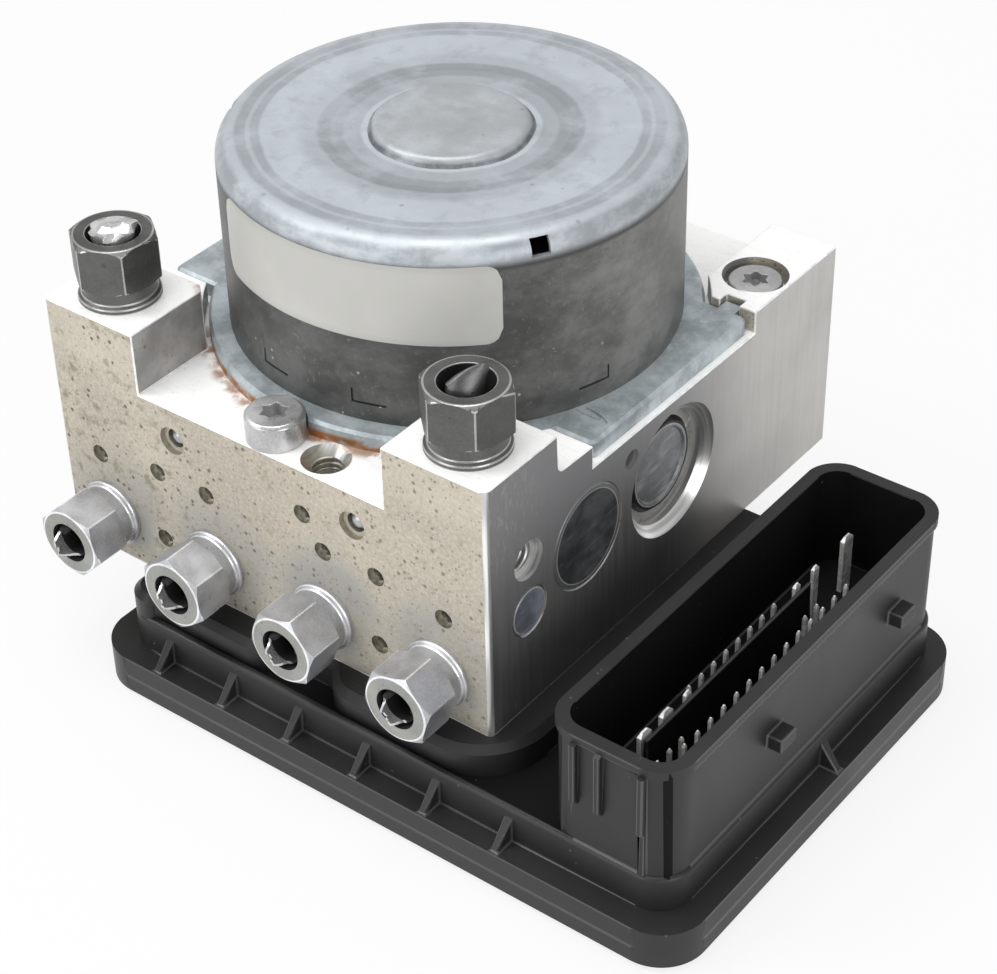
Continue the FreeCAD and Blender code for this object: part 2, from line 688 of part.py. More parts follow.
def ball_plugs():
    small, large = drilling_places()
    balls = []
    for places, radius in ((small, DRILLING_BORE_R), (large, LARGE_DRILLING_BORE_R)):
        for place in places:
            centre = place + V(0, BALL_DEPTH, 0)
            balls.append(Part.makeSphere(radius - 0.02, centre))
    return group(balls)


def side_plugs():
    plugs = []
    for direction, name in SIDES:
        face_x = BLOCK_RIGHT if direction.x > 0 else BLOCK_LEFT
        place = V(face_x, BLOCK_FRONT + SIDE_PLUG_INSET, BLOCK_BASE + SIDE_PLUG_HEIGHT)
        plug = turned([(0, 0), (SIDE_PLUG_R - 0.5, 0), (SIDE_PLUG_R - 0.02, -0.4),
                       (SIDE_PLUG_R - 0.02, -SIDE_PLUG_LENGTH), (0, -SIDE_PLUG_LENGTH)])
        plugs.append(placed(plug, place, direction))
    return group(plugs)


def cap_screw():
    """Round-headed motor screw on the front ledge."""
    edge = 0.5
    body = turned([(0, CAP_HEAD_HEIGHT), (CAP_HEAD_R - edge, CAP_HEAD_HEIGHT),
                   (CAP_HEAD_R, CAP_HEAD_HEIGHT - edge), (CAP_HEAD_R, 0), (CAP_SHANK_R, 0),
                   (CAP_SHANK_R, -CAP_SHANK_LENGTH), (0, -CAP_SHANK_LENGTH)])
    body = body.cut(star_socket(CAP_HEAD_R * 0.5, CAP_HEAD_HEIGHT * 0.5, CAP_HEAD_HEIGHT))
    return placed(body, V(CAP_SCREW_X, LEDGE_ROW_Y, SEAT), UP)


def post_screw():
    """Low-headed screw sunk into the rear post."""
    edge = 0.3
    body = turned([(0, POST_HEAD_HEIGHT), (POST_HEAD_R - edge, POST_HEAD_HEIGHT),
                   (POST_HEAD_R, POST_HEAD_HEIGHT - edge), (POST_HEAD_R, 0), (POST_SHANK_R, 0),
                   (POST_SHANK_R, -POST_SHANK_LENGTH), (0, -POST_SHANK_LENGTH)])
    body = body.cut(star_socket(POST_HEAD_R * 0.52, POST_HEAD_HEIGHT * 0.6, POST_HEAD_HEIGHT))
    return placed(body, V(POST_SCREW_X, POST_SCREW_Y, LEDGE_TOP - POST_SINK_DEPTH), UP)


# Pump

def pump_sleeve():
    """Cylinder of one pump element along +Z, measured from the motor axis."""
    outer_r = PUMP_SLEEVE_R - 0.02
    return turned([(PISTON_R + RUNNING_GAP, PUMP_SLEEVE_START), (outer_r, PUMP_SLEEVE_START),
                   (outer_r, PUMP_SLEEVE_END), (SPRING_CHAMBER_R, PUMP_SLEEVE_END),
                   (SPRING_CHAMBER_R, SPRING_CHAMBER_START),
                   (PISTON_R + RUNNING_GAP, SPRING_CHAMBER_START)])


def pump_piston():
    edge = 0.4
    end = PISTON_REST + PISTON_LENGTH
    return turned([(0, PISTON_REST), (PISTON_R - edge, PISTON_REST),
                   (PISTON_R, PISTON_REST + edge), (PISTON_R, end - edge),
                   (PISTON_R - edge, end), (0, end)])


def pump_spring():
    start = PISTON_REST + PISTON_LENGTH + 0.05
    spring = coil_spring(PUMP_SPRING_R, PUMP_SPRING_WIRE_R, PUMP_SLEEVE_END - 0.05 - start,
                         PUMP_SPRING_TURNS)
    spring.translate(V(0, 0, start))
    return spring


def pump_cap(direction):
    """Dark closing cap, recessed in the stepped mouth of the pump bore."""
    face_x = BLOCK_RIGHT if direction.x > 0 else BLOCK_LEFT
    top = abs(face_x) - PUMP_CAP_RECESS
    edge = 0.7
    cap_r = PUMP_CAP_R - 0.02
    return turned([(0, PUMP_SLEEVE_END), (cap_r, PUMP_SLEEVE_END), (cap_r, top - edge),
                   (cap_r - edge, top), (cap_r - 1.6, top), (cap_r - 1.9, top - 0.4), (0, top - 0.4)])


def eccentric_ring():
    middle = V(0, ECCENTRICITY, PUMP_Z - ECCENTRIC_RING_WIDTH / 2)
    ring = rod(ECCENTRIC_RING_R, ECCENTRIC_RING_WIDTH, middle)
    return ring.cut(rod(ECCENTRIC_R + RUNNING_GAP, ECCENTRIC_RING_WIDTH, middle))


# Accumulators

def accumulator_cover():
    """Flush disc that closes an accumulator, measured inwards from the side face."""
    radius = ACCUMULATOR_R - 0.02
    return turned([(0, 0), (radius - 0.4, 0), (radius, -0.3), (radius, -ACCUMULATOR_COVER),
                   (0, -ACCUMULATOR_COVER)])


def accumulator_piston():
    """Cup that moves in the bore; its open side takes the spring."""
    foot = -ACCUMULATOR_DEPTH + 0.1
    top = foot + ACCUMULATOR_PISTON_LENGTH
    radius = ACCUMULATOR_R - RUNNING_GAP
    inner = radius - ACCUMULATOR_PISTON_WALL
    return turned([(0, foot), (radius, foot), (radius, top), (inner, top),
                   (inner, foot + ACCUMULATOR_PISTON_WALL), (0, foot + ACCUMULATOR_PISTON_WALL)])


def accumulator_spring():
    start = -ACCUMULATOR_DEPTH + 0.1 + ACCUMULATOR_PISTON_WALL + 0.05
    end = -ACCUMULATOR_COVER - 0.05
    spring = coil_spring(ACCUMULATOR_SPRING_R, ACCUMULATOR_SPRING_WIRE_R, end - start,
                         ACCUMULATOR_SPRING_TURNS)
    spring.translate(V(0, 0, start))
    return spring


def on_side_face(shape, direction):
    face_x = BLOCK_RIGHT if direction.x > 0 else BLOCK_LEFT
    return placed(shape, V(face_x, ACCUMULATOR_Y, ACCUMULATOR_Z), direction)


def on_pump_axis(shape, direction):
    return placed(shape, V(0, 0, PUMP_Z), direction)


# Solenoid valves, each made upright with Z = 0 at the block's underside

def valve_body():
    """Cartridge in the block with the thin dome that the coil slides over."""
    bore_r = PLUNGER_HEAD_R + RUNNING_GAP
    seat = VALVE_BODY_HEIGHT - VALVE_SEAT_DEPTH
    dome_floor = -DOME_LENGTH + DOME_WALL
    return turned([(0, -DOME_LENGTH), (DOME_R - 1.0, -DOME_LENGTH), (DOME_R, -DOME_LENGTH + 1.0),
                   (DOME_R, 0), (VALVE_FLANGE_R - 0.05, 0),
                   (VALVE_FLANGE_R - 0.05, VALVE_FLANGE_HEIGHT), (VALVE_BODY_R - 0.02, VALVE_FLANGE_HEIGHT),
                   (VALVE_BODY_R - 0.02, VALVE_BODY_HEIGHT), (VALVE_ORIFICE_R, VALVE_BODY_HEIGHT),
                   (VALVE_ORIFICE_R, seat), (bore_r, seat), (bore_r, dome_floor), (0, dome_floor)])


def valve_plunger(lift):
    """Armature and needle; lift is the gap between its needle and the seat."""
    seat = VALVE_BODY_HEIGHT - VALVE_SEAT_DEPTH
    tip = seat - lift - 0.03
    foot = -DOME_LENGTH + DOME_WALL + PLUNGER_TRAVEL + 0.2
    shoulder = 4.0
    return turned([(0, foot), (PLUNGER_HEAD_R, foot), (PLUNGER_HEAD_R, shoulder),
                   (PLUNGER_NEEDLE_R, shoulder), (PLUNGER_NEEDLE_R, tip), (0, tip)])


def valve_coil():
    """Coil with its bobbin flanges, standing on the circuit board round a dome."""
    top = BOARD_TOP - BLOCK_BASE + COIL_HEIGHT
    foot = BOARD_TOP - BLOCK_BASE
    return turned([(COIL_BORE_R, foot), (COIL_R, foot), (COIL_R, foot + COIL_FLANGE),
                   (COIL_CORE_R, foot + COIL_FLANGE), (COIL_CORE_R, top - COIL_FLANGE),
                   (COIL_R, top - COIL_FLANGE), (COIL_R, top), (COIL_BORE_R, top)])


# Pump motor

def motor_flange():
    """Base plate: round in front, squared off beside the ledges, with a bearing spigot."""
    disc = rod(FLANGE_R, FLANGE_THICKNESS, V(0, 0, SEAT))
    plate = rounded_slab(BLOCK_LEFT + FLANGE_SIDE_INSET, BLOCK_RIGHT - FLANGE_SIDE_INSET,
                         FLANGE_FRONT_Y, FLANGE_BACK_Y, SEAT, FLANGE_TOP, FLANGE_CORNER)
    spigot = rod(CHAMBER_R - 0.1, SPIGOT_DEPTH, V(0, 0, SEAT - SPIGOT_DEPTH))
    body = joined([disc, plate])
    top_edges = [e for e in body.Edges if e.BoundBox.ZMin > FLANGE_TOP - 1e-6]
    tongue = box(TONGUE_X - TONGUE_WIDTH / 2, TONGUE_X + TONGUE_WIDTH / 2,
                 FLANGE_BACK_Y - 1, BLOCK_BACK - REAR_POST_DEPTH + TONGUE_REACH, SEAT, FLANGE_TOP)
    body = joined([body.makeChamfer(FLANGE_EDGE, top_edges), spigot, tongue])
    seat_bottom = SEAT - SPIGOT_DEPTH + 1.0
    tools = [rod(LOWER_BEARING_R, FLANGE_TOP - seat_bottom, V(0, 0, seat_bottom)),
             rod(SHAFT_R + 1.5, SPIGOT_DEPTH, V(0, 0, SEAT - SPIGOT_DEPTH)),
             rod(CAP_HEAD_R + 0.25, FLANGE_THICKNESS, V(CAP_SCREW_X, LEDGE_ROW_Y, SEAT))]
    tools.extend(flange_marks())
    return bored(body, tools)


def flange_marks():
    """Shallow pressed marks on the front right corner of the plate."""
    depth = 0.4
    top = FLANGE_TOP - depth
    x = BLOCK_RIGHT - FLANGE_SIDE_INSET - 7.4
    y = FLANGE_FRONT_Y + 4.2
    slot = box(x, x + 5.4, y, y + 1.6, top, FLANGE_TOP)
    centre = V(x + 1.5, y - 4.6, top)
    arc = rod(7.6, depth, centre).cut(rod(6.9, depth, centre))
    sector = box(x + 1.0, x + 6.0, y - 1.0, y + 3.2, top, FLANGE_TOP)
    return [slot, arc.common(sector).cut(slot)]


def motor_can():
    """Deep-drawn steel can with a rounded shoulder, a shallow dish and a raised boss."""
    def skin(offset):
        r = CAN_R - offset
        top = CAN_TOP - offset
        bend = CAN_SHOULDER - offset
        shift = offset * 0.4
        mid = bend * (1 - math.sqrt(0.5))
        points = [V(r, 0, FLANGE_TOP), V(r, 0, top - bend)]
        edges = [Part.makeLine(points[0], points[1])]
        edges.append(Part.Arc(points[1], V(r - mid, 0, top - mid), V(r - bend, 0, top)).toShape())
        outline = [V(r - bend, 0, top), V(DISH_OUTER_R + shift, 0, top),
                   V(DISH_INNER_R + shift, 0, top - DISH_DEPTH),
                   V(BOSS_FOOT_R - shift, 0, top - DISH_DEPTH),
                   V(BOSS_R - shift, 0, top + BOSS_RISE - 0.3),
                   V(BOSS_R - 0.9 - shift, 0, top + BOSS_RISE), V(0, 0, top + BOSS_RISE)]
        for a, b in zip(outline, outline[1:]):
            edges.append(Part.makeLine(a, b))
        foot = V(0, 0, FLANGE_TOP)
        edges.append(Part.makeLine(outline[-1], foot))
        edges.append(Part.makeLine(foot, points[0]))
        return Part.Face(Part.Wire(edges)).revolve(V(0, 0, 0), UP, 360)

    can = skin(0).cut(skin(CAN_WALL))
    tools = []
    for angle in WINDOW_ANGLES:
        notch = box(CAN_R - WINDOW_DEPTH, CAN_R + 1, -WINDOW_WIDTH / 2, WINDOW_WIDTH / 2,
                    CAN_TOP - WINDOW_HEIGHT, CAN_TOP - 0.9)
        notch.rotate(V(0, 0, 0), UP, angle)
        tools.append(notch)
    for angle in CRIMP_ANGLES:
        level = FLANGE_TOP + CRIMP_LEVEL
        notch = box(CAN_R - CRIMP_DEPTH, CAN_R + 1, -CRIMP_WIDTH / 2, CRIMP_WIDTH / 2,
                    level, level + CRIMP_HEIGHT)
        notch.rotate(V(0, 0, 0), UP, angle)
        tools.append(notch)
    socket = rod(UPPER_BEARING_R, UPPER_BEARING_WIDTH, V(0, 0, upper_bearing_bottom()))
    holder_r = UPPER_BEARING_R + 1.2
    holder = rod(holder_r, UPPER_BEARING_WIDTH + CAN_WALL / 2,
                 V(0, 0, upper_bearing_bottom()))
    return bored(joined([can, holder]), tools + [socket])


def upper_bearing_bottom():
    return CAN_TOP + BOSS_RISE - CAN_WALL - UPPER_BEARING_WIDTH


def motor_label():
    """Blank label wrapped round the can."""
    outer = rod(CAN_R + LABEL_THICKNESS, LABEL_TOP - LABEL_BOTTOM, V(0, 0, LABEL_BOTTOM))
    sleeve = outer.cut(rod(CAN_R, LABEL_TOP - LABEL_BOTTOM, V(0, 0, LABEL_BOTTOM)))
    reach = 2 * CAN_R
    start = math.radians(LABEL_START)
    end = math.radians(LABEL_END)
    wedge = Part.makePolygon([V(0, 0, LABEL_BOTTOM),
                              V(reach * math.cos(start), reach * math.sin(start), LABEL_BOTTOM),
                              V(reach * math.cos(end), reach * math.sin(end), LABEL_BOTTOM),
                              V(0, 0, LABEL_BOTTOM)])
    label = sleeve.common(Part.Face(wedge).extrude(V(0, 0, LABEL_TOP - LABEL_BOTTOM)))
    corners = [e for e in label.Edges if e.Length < 2 * LABEL_THICKNESS]
    return label.makeFillet(LABEL_CORNER, corners)


def lower_bearing():
    bottom = SEAT - SPIGOT_DEPTH + 1.0
    return rod(LOWER_BEARING_R - 0.02, LOWER_BEARING_WIDTH, V(0, 0, bottom)).cut(
        rod(SHAFT_R + RUNNING_GAP, LOWER_BEARING_WIDTH, V(0, 0, bottom)))


def upper_bearing():
    bottom = V(0, 0, upper_bearing_bottom())
    return rod(UPPER_BEARING_R - 0.02, UPPER_BEARING_WIDTH, bottom).cut(
        rod(SHAFT_R + RUNNING_GAP, UPPER_BEARING_WIDTH, bottom))


def motor_shaft():
    """Shaft with the eccentric journal turned on its lower end."""
    journal_bottom = PUMP_Z - ECCENTRIC_RING_WIDTH / 2 - 0.3
    journal_height = ECCENTRIC_RING_WIDTH + 0.6
    journal = rod(ECCENTRIC_R, journal_height, V(0, ECCENTRICITY, journal_bottom))
    shaft_bottom = journal_bottom + journal_height
    length = upper_bearing_bottom() + UPPER_BEARING_WIDTH - 0.4 - shaft_bottom
    shaft = rod(SHAFT_R, length, V(0, 0, shaft_bottom))
    return joined([journal, shaft])


def slot_bars(width, inner_r, outer_r, bottom, height):
    bars = []
    for k in range(ARMATURE_SLOTS):
        bar = box(inner_r, outer_r, -width / 2, width / 2, bottom, bottom + height)
        bar.rotate(V(0, 0, 0), UP, 360.0 * k / ARMATURE_SLOTS)
        bars.append(bar)
    return bars


def armature_core():
    """Laminated stack with open slots for the winding."""
    bottom = V(0, 0, ARMATURE_BOTTOM)
    stack = rod(ARMATURE_R, ARMATURE_HEIGHT, bottom)
    stack = stack.cut(rod(SHAFT_R, ARMATURE_HEIGHT, bottom))
    slots = slot_bars(SLOT_WIDTH, SLOT_INNER_R, ARMATURE_R + 1, ARMATURE_BOTTOM, ARMATURE_HEIGHT)
    return bored(stack, slots)


def armature_winding():
    """Copper in the slots, joined by the two end turns."""
    width = SLOT_WIDTH - 2 * SLOT_GAP
    outer_r = ARMATURE_R - 2.0
    inner_r = SLOT_INNER_R + SLOT_GAP
    bars = slot_bars(width, inner_r, outer_r, ARMATURE_BOTTOM - WINDING_HEAD,
                     ARMATURE_HEIGHT + 2 * WINDING_HEAD)
    heads = []
    for bottom in (ARMATURE_BOTTOM - WINDING_HEAD, ARMATURE_BOTTOM + ARMATURE_HEIGHT):
        head = rod(outer_r, WINDING_HEAD, V(0, 0, bottom))
        heads.append(head.cut(rod(COMMUTATOR_R + 1.5, WINDING_HEAD, V(0, 0, bottom))))
    return joined(heads + bars)


def commutator():
    bottom = V(0, 0, commutator_bottom())
    return rod(COMMUTATOR_R, COMMUTATOR_HEIGHT, bottom).cut(rod(SHAFT_R, COMMUTATOR_HEIGHT, bottom))


def commutator_bottom():
    return ARMATURE_BOTTOM - COMMUTATOR_HEIGHT


def motor_magnets():
    """Curved ferrite segments bonded to the wall of the can."""
    height = ARMATURE_HEIGHT + 3.0
    bottom = ARMATURE_BOTTOM - 1.5
    outer_r = CAN_R - CAN_WALL - 0.02
    segments = []
    for k in range(MAGNET_COUNT):
        shell = Part.makeCylinder(outer_r, height, V(0, 0, bottom), UP, MAGNET_SPAN)
        hollow = Part.makeCylinder(MAGNET_INNER_R, height, V(0, 0, bottom), UP, MAGNET_SPAN)
        segment = shell.cut(hollow)
        segment.rotate(V(0, 0, 0), UP, 360.0 * k / MAGNET_COUNT)
        segments.append(segment)
    return group(segments)


def brush_shape(margin, length):
    """Outline of one brush along +X, grown by a margin for its guide."""
    start = COMMUTATOR_R + 0.1
    bottom = brush_bottom()
    half = BRUSH_WIDTH / 2 + margin
    return box(start, start + length, -half, half, bottom, bottom + BRUSH_HEIGHT + margin)


def brush_bottom():
    return FLANGE_TOP + BRUSH_PLATE_THICKNESS


def both_ways(shape):
    other = shape.copy()
    other.rotate(V(0, 0, 0), UP, 180)
    return [shape, other]


def motor_brushes():
    return group(both_ways(brush_shape(0, BRUSH_LENGTH)))


def brush_holder():
    """Moulded ring on the flange with a guide box for each brush."""
    base = V(0, 0, FLANGE_TOP)
    plate = rod(BRUSH_PLATE_R, BRUSH_PLATE_THICKNESS, base)
    opening = rod(COMMUTATOR_R + 1.0, BRUSH_PLATE_THICKNESS, base)
    boxes = []
    guides = []
    for shape in both_ways(brush_shape(BRUSH_BOX_WALL, BRUSH_LENGTH + 1)):
        shift = 1.5 if shape.BoundBox.XMin > 0 else -1.5
        shape.translate(V(shift, 0, 0))
        boxes.append(shape)
    for shape in both_ways(brush_shape(0.05, BRUSH_LENGTH + 0.2)):
        guides.append(shape)
    return bored(joined([plate.cut(opening)] + boxes), guides)


def contact_stem():
    """Plug that leads the motor current through the block to the circuit board."""
    foot = V(STEM_X, STEM_Y, BOARD_TOP)
    return rod(STEM_R, SEAT - BOARD_TOP, foot)


# Control unit

def valve_window(z0, z1, grow, corner):
    """Rounded opening round the eight valves, grown sideways."""
    edge = COIL_R + WINDOW_MARGIN + grow
    return rounded_slab(VALVE_XS[0] - edge, VALVE_XS[-1] + edge, INLET_ROW_Y - edge,
                        OUTLET_ROW_Y + edge, z0, z1, corner)


def seal_ring(z0, z1):
    inner = valve_window(z0, z1, WINDOW_MARGIN, SEAL_CORNER - SEAL_WIDTH)
    return valve_window(z0, z1, WINDOW_MARGIN + SEAL_WIDTH, SEAL_CORNER).cut(inner)


def gusset(x):
    """Triangular rib between the rim and the front wall."""
    edge = RIM_FRONT + 0.4
    outline = Part.makePolygon([V(x, edge, RIM_TOP), V(x, WALL_FRONT, RIM_TOP),
                                V(x, WALL_FRONT, RIM_TOP + GUSSET_HEIGHT),
                                V(x, edge, RIM_TOP)])
    return Part.Face(outline).extrude(V(GUSSET_THICKNESS, 0, 0))


def side_gusset():
    y = SIDE_GUSSET_Y
    outline = Part.makePolygon([V(WALL_RIGHT, y, RIM_TOP), V(RIM_RIGHT - 0.4, y, RIM_TOP),
                                V(WALL_RIGHT, y, RIM_TOP + GUSSET_HEIGHT),
                                V(WALL_RIGHT, y, RIM_TOP)])
    return Part.Face(outline).extrude(V(0, GUSSET_THICKNESS, 0))


def end_rib(x, y, reach, bottom):
    """Upright rib on an end of the shroud, with a slanted foot."""
    start = y - math.copysign(0.5, reach)
    top = SOCKET_TOP - SOCKET_LIP_HEIGHT
    outline = Part.makePolygon([V(x, start, bottom), V(x, y, bottom),
                                V(x, y + reach, bottom + abs(reach)), V(x, y + reach, top),
                                V(x, start, top), V(x, start, bottom)])
    return Part.Face(outline).extrude(V(END_RIB_WIDTH, 0, 0))


def socket_shell():
    """Connector shroud with its lip, end ribs and two latch pegs."""
    right = WALL_RIGHT - SOCKET_INSET
    front = WALL_FRONT + SOCKET_INSET
    back = WALL_BACK - SOCKET_INSET
    shell = [rounded_slab(SOCKET_LEFT, right, front, back, RIM_TOP, SOCKET_TOP, SOCKET_CORNER)]
    shell.append(rounded_slab(SOCKET_LEFT - SOCKET_LIP, right + SOCKET_LIP, front - SOCKET_LIP,
                              back + SOCKET_LIP, SOCKET_TOP - SOCKET_LIP_HEIGHT, SOCKET_TOP,
                              SOCKET_CORNER + SOCKET_LIP))
    for offset in END_RIB_OFFSETS:
        shell.append(end_rib(SOCKET_LEFT + offset, front, -END_RIB_DEPTH, END_RIB_BOTTOM))
    for offset in FAR_RIB_OFFSETS:
        shell.append(end_rib(SOCKET_LEFT + offset, back, END_RIB_DEPTH, END_RIB_BOTTOM))
    x = SOCKET_LEFT + END_RIB_OFFSETS[-1]
    shell.append(box(x, x + END_RIB_WIDTH, front - CORNER_LINE_DEPTH, front + 1, WALL_TOP,
                     END_RIB_BOTTOM + 1))
    for y in PEG_PLACES_Y:
        peg = box(right - 0.5, right + PEG_REACH, y, y + PEG_WIDTH, PEG_BOTTOM,
                  PEG_BOTTOM + PEG_HEIGHT)
        shell.append(peg)
    return shell


def socket_cavity():
    return rounded_slab(SOCKET_LEFT + SOCKET_WALL, WALL_RIGHT - SOCKET_INSET - SOCKET_WALL,
                        WALL_FRONT + SOCKET_INSET + SOCKET_WALL,
                        WALL_BACK - SOCKET_INSET - SOCKET_WALL,
                        SOCKET_FLOOR, SOCKET_TOP, SOCKET_CORNER - SOCKET_WALL)


def partition():
    """Thin wall beside the tall contacts, standing on the socket's floor."""
    return box(PARTITION_X, PARTITION_X + PARTITION_THICKNESS, PARTITION_FRONT, PARTITION_BACK,
               SOCKET_FLOOR - 1, PARTITION_TOP)


def pedestal():
    """Raised deck under the valve block; its front swells twice, with a dip between."""
    back = WALL_BACK - TROUGH_LIP
    dip = PEDESTAL_FRONT + WAVE_DEPTH
    step = PEDESTAL_FRONT - PEDESTAL_SHOULDER_FRONT
    corners = [(PEDESTAL_LEFT, back, 0), (PEDESTAL_LEFT, PEDESTAL_SHOULDER_FRONT,
                                          PEDESTAL_SHOULDER_CORNER),
               (PEDESTAL_SHOULDER_X, PEDESTAL_SHOULDER_FRONT, PEDESTAL_SHOULDER_R),
               (PEDESTAL_SHOULDER_X + step, PEDESTAL_FRONT, PEDESTAL_SHOULDER_R),
               (WAVE_START_X, PEDESTAL_FRONT, WAVE_OUTER_R),
               (WAVE_START_X + WAVE_SLOPE, dip, WAVE_INNER_R),
               (WAVE_END_X - WAVE_SLOPE, dip, WAVE_INNER_R),
               (WAVE_END_X, PEDESTAL_FRONT, WAVE_OUTER_R),
               (PEDESTAL_RIGHT, PEDESTAL_FRONT, PEDESTAL_CORNER), (PEDESTAL_RIGHT, back, 0)]
    points = [V(x, y, DECK_UNDERSIDE) for x, y, r in corners]
    face = Part.Face(Part.makePolygon(points + [points[0]]))
    deck = face.extrude(V(0, 0, BLOCK_BASE - DECK_UNDERSIDE))
    for x, y, r in corners:
        if r:
            edge = [e for e in deck.Edges if e.BoundBox.ZLength > 1
                    and abs(e.BoundBox.XMin - x) < 1e-4 and abs(e.BoundBox.YMin - y) < 1e-4]
            deck = deck.makeFillet(r, edge)
    rim = [e for e in deck.Edges if e.BoundBox.ZMin > BLOCK_BASE - 1e-6
           and e.BoundBox.YMin < back - 1e-3]
    return deck.makeChamfer(PEDESTAL_EDGE, rim)


def unit_housing():
    """Moulded housing: rim, walls, trough, pedestal under the block and connector."""
    body = [rounded_slab(RIM_LEFT, RIM_RIGHT, RIM_FRONT, RIM_BACK, COVER_HEIGHT, RIM_TOP,
                         RIM_CORNER),
            rounded_slab(WALL_LEFT, WALL_RIGHT, WALL_FRONT, WALL_BACK, RIM_TOP, WALL_TOP,
                         WALL_CORNER)]
    body.extend(gusset(GUSSET_START + k * GUSSET_PITCH) for k in range(GUSSET_COUNT))
    body.append(side_gusset())
    shell = joined(body)
    rounded = [e for e in shell.Edges if e.BoundBox.ZMin > WALL_TOP - 1e-6]
    shell = shell.makeFillet(WALL_ROUNDING, rounded)
    trough = rounded_slab(WALL_LEFT + TROUGH_LIP, WALL_RIGHT - TROUGH_LIP,
                          WALL_FRONT + TROUGH_LIP, WALL_BACK - TROUGH_LIP,
                          TROUGH_FLOOR, WALL_TOP, WALL_CORNER - TROUGH_LIP)
    shell = shell.cut(trough)
    shell = joined([shell, pedestal()] + socket_shell())
    hollow = rounded_slab(WALL_LEFT + HOUSING_WALL, WALL_RIGHT - HOUSING_WALL,
                          WALL_FRONT + HOUSING_WALL, WALL_BACK - HOUSING_WALL,
                          COVER_HEIGHT, DECK_UNDERSIDE, WALL_CORNER - HOUSING_WALL)
    bosses = [rod(UNIT_BOSS_R, DECK_UNDERSIDE - COVER_HEIGHT, V(x, y, COVER_HEIGHT))
              for x, y in unit_screw_places()]
    shell = shell.cut([hollow, socket_cavity()])
    shell = joined([shell, partition()] + bosses)
    tools = [valve_window(DECK_UNDERSIDE, BLOCK_BASE, 0, SEAL_CORNER - SEAL_WIDTH - WINDOW_MARGIN),
             seal_ring(BLOCK_BASE - SEAL_DEPTH, BLOCK_BASE),
             rod(STEM_R + STEM_GAP, BLOCK_BASE - DECK_UNDERSIDE, V(STEM_X, STEM_Y, DECK_UNDERSIDE))]
    for x, y in unit_screw_places():
        tools.append(rod(UNIT_SCREW_R + SCREW_GAP, BLOCK_BASE - COVER_HEIGHT, V(x, y, COVER_HEIGHT)))
        tools.append(rod(UNIT_HEAD_R + 0.1, UNIT_HEAD_SEAT - COVER_HEIGHT, V(x, y, COVER_HEIGHT)))
    tools.extend(all_pins())
    return bored(shell, tools)


def unit_cover():
    """Flat cover welded under the housing; tubes give access to the screws."""
    plate = rounded_slab(RIM_LEFT, RIM_RIGHT, RIM_FRONT, RIM_BACK, 0, COVER_HEIGHT, RIM_CORNER)
    under = [e for e in plate.Edges if e.BoundBox.ZMax < 1e-6]
    plate = plate.makeChamfer(0.8, under)
    hollow = rounded_slab(WALL_LEFT + HOUSING_WALL, WALL_RIGHT - HOUSING_WALL,
                          WALL_FRONT + HOUSING_WALL, WALL_BACK - HOUSING_WALL,
                          COVER_FLOOR, COVER_HEIGHT, WALL_CORNER - HOUSING_WALL)
    plate = plate.cut(hollow)
    posts = [rod(BOARD_POST_R, BOARD_BOTTOM - COVER_FLOOR, V(x, y, COVER_FLOOR))
             for x, y in board_post_places()]
    tubes = [rod(UNIT_BOSS_R, COVER_HEIGHT - COVER_FLOOR, V(x, y, COVER_FLOOR))
             for x, y in unit_screw_places()]
    bores = [rod(UNIT_HEAD_R + 0.1, COVER_HEIGHT, V(x, y, 0)) for x, y in unit_screw_places()]
    return bored(joined([plate] + posts + tubes), bores)


def board_post_places():
    middle_y = (WALL_FRONT + WALL_BACK) / 2
    return [(-22.0, middle_y), (20.0, middle_y), (50.0, WALL_FRONT + 7), (50.0, WALL_BACK - 7),
            (72.0, WALL_FRONT + 7), (72.0, WALL_BACK - 7)]


def circuit_board():
    edge = HOUSING_WALL + BOARD_GAP
    board = rounded_slab(WALL_LEFT + edge, WALL_RIGHT - edge, WALL_FRONT + edge, WALL_BACK - edge,
                         BOARD_BOTTOM, BOARD_TOP, WALL_CORNER - edge)
    tools = [rod(UNIT_BOSS_R + 0.4, BOARD_THICKNESS, V(x, y, BOARD_BOTTOM))
             for x, y in unit_screw_places()]
    return bored(board, tools)


def unit_seal():
    return seal_ring(BLOCK_BASE - SEAL_DEPTH, BLOCK_BASE)


def unit_screws():
    screws = []
    for x, y in unit_screw_places():
        head_bottom = UNIT_HEAD_SEAT - UNIT_HEAD_HEIGHT
        end = BLOCK_BASE + UNIT_SCREW_GRIP
        screw = turned([(0, head_bottom), (UNIT_HEAD_R, head_bottom), (UNIT_HEAD_R, UNIT_HEAD_SEAT),
                        (UNIT_SCREW_R, UNIT_HEAD_SEAT), (UNIT_SCREW_R, end), (0, end)])
        screw.translate(V(x, y, 0))
        socket = star_socket(UNIT_HEAD_R * 0.5, 1.4, head_bottom + 1.4)
        socket.translate(V(x, y, 0))
        screws.append(screw.cut(socket))
    return group(screws)


def pin(x, y, width, thickness, tip):
    """Contact that stands on the circuit board, with a pointed tip."""
    taper = 0.8
    shank = box(x - thickness / 2, x + thickness / 2, y - width / 2, y + width / 2,
                BOARD_TOP, tip)
    top = [e for e in shank.Edges if e.BoundBox.ZMin > tip - 1e-6 and e.BoundBox.YLength > width / 2]
    return shank.makeChamfer(min(thickness, taper) * 0.35, top)


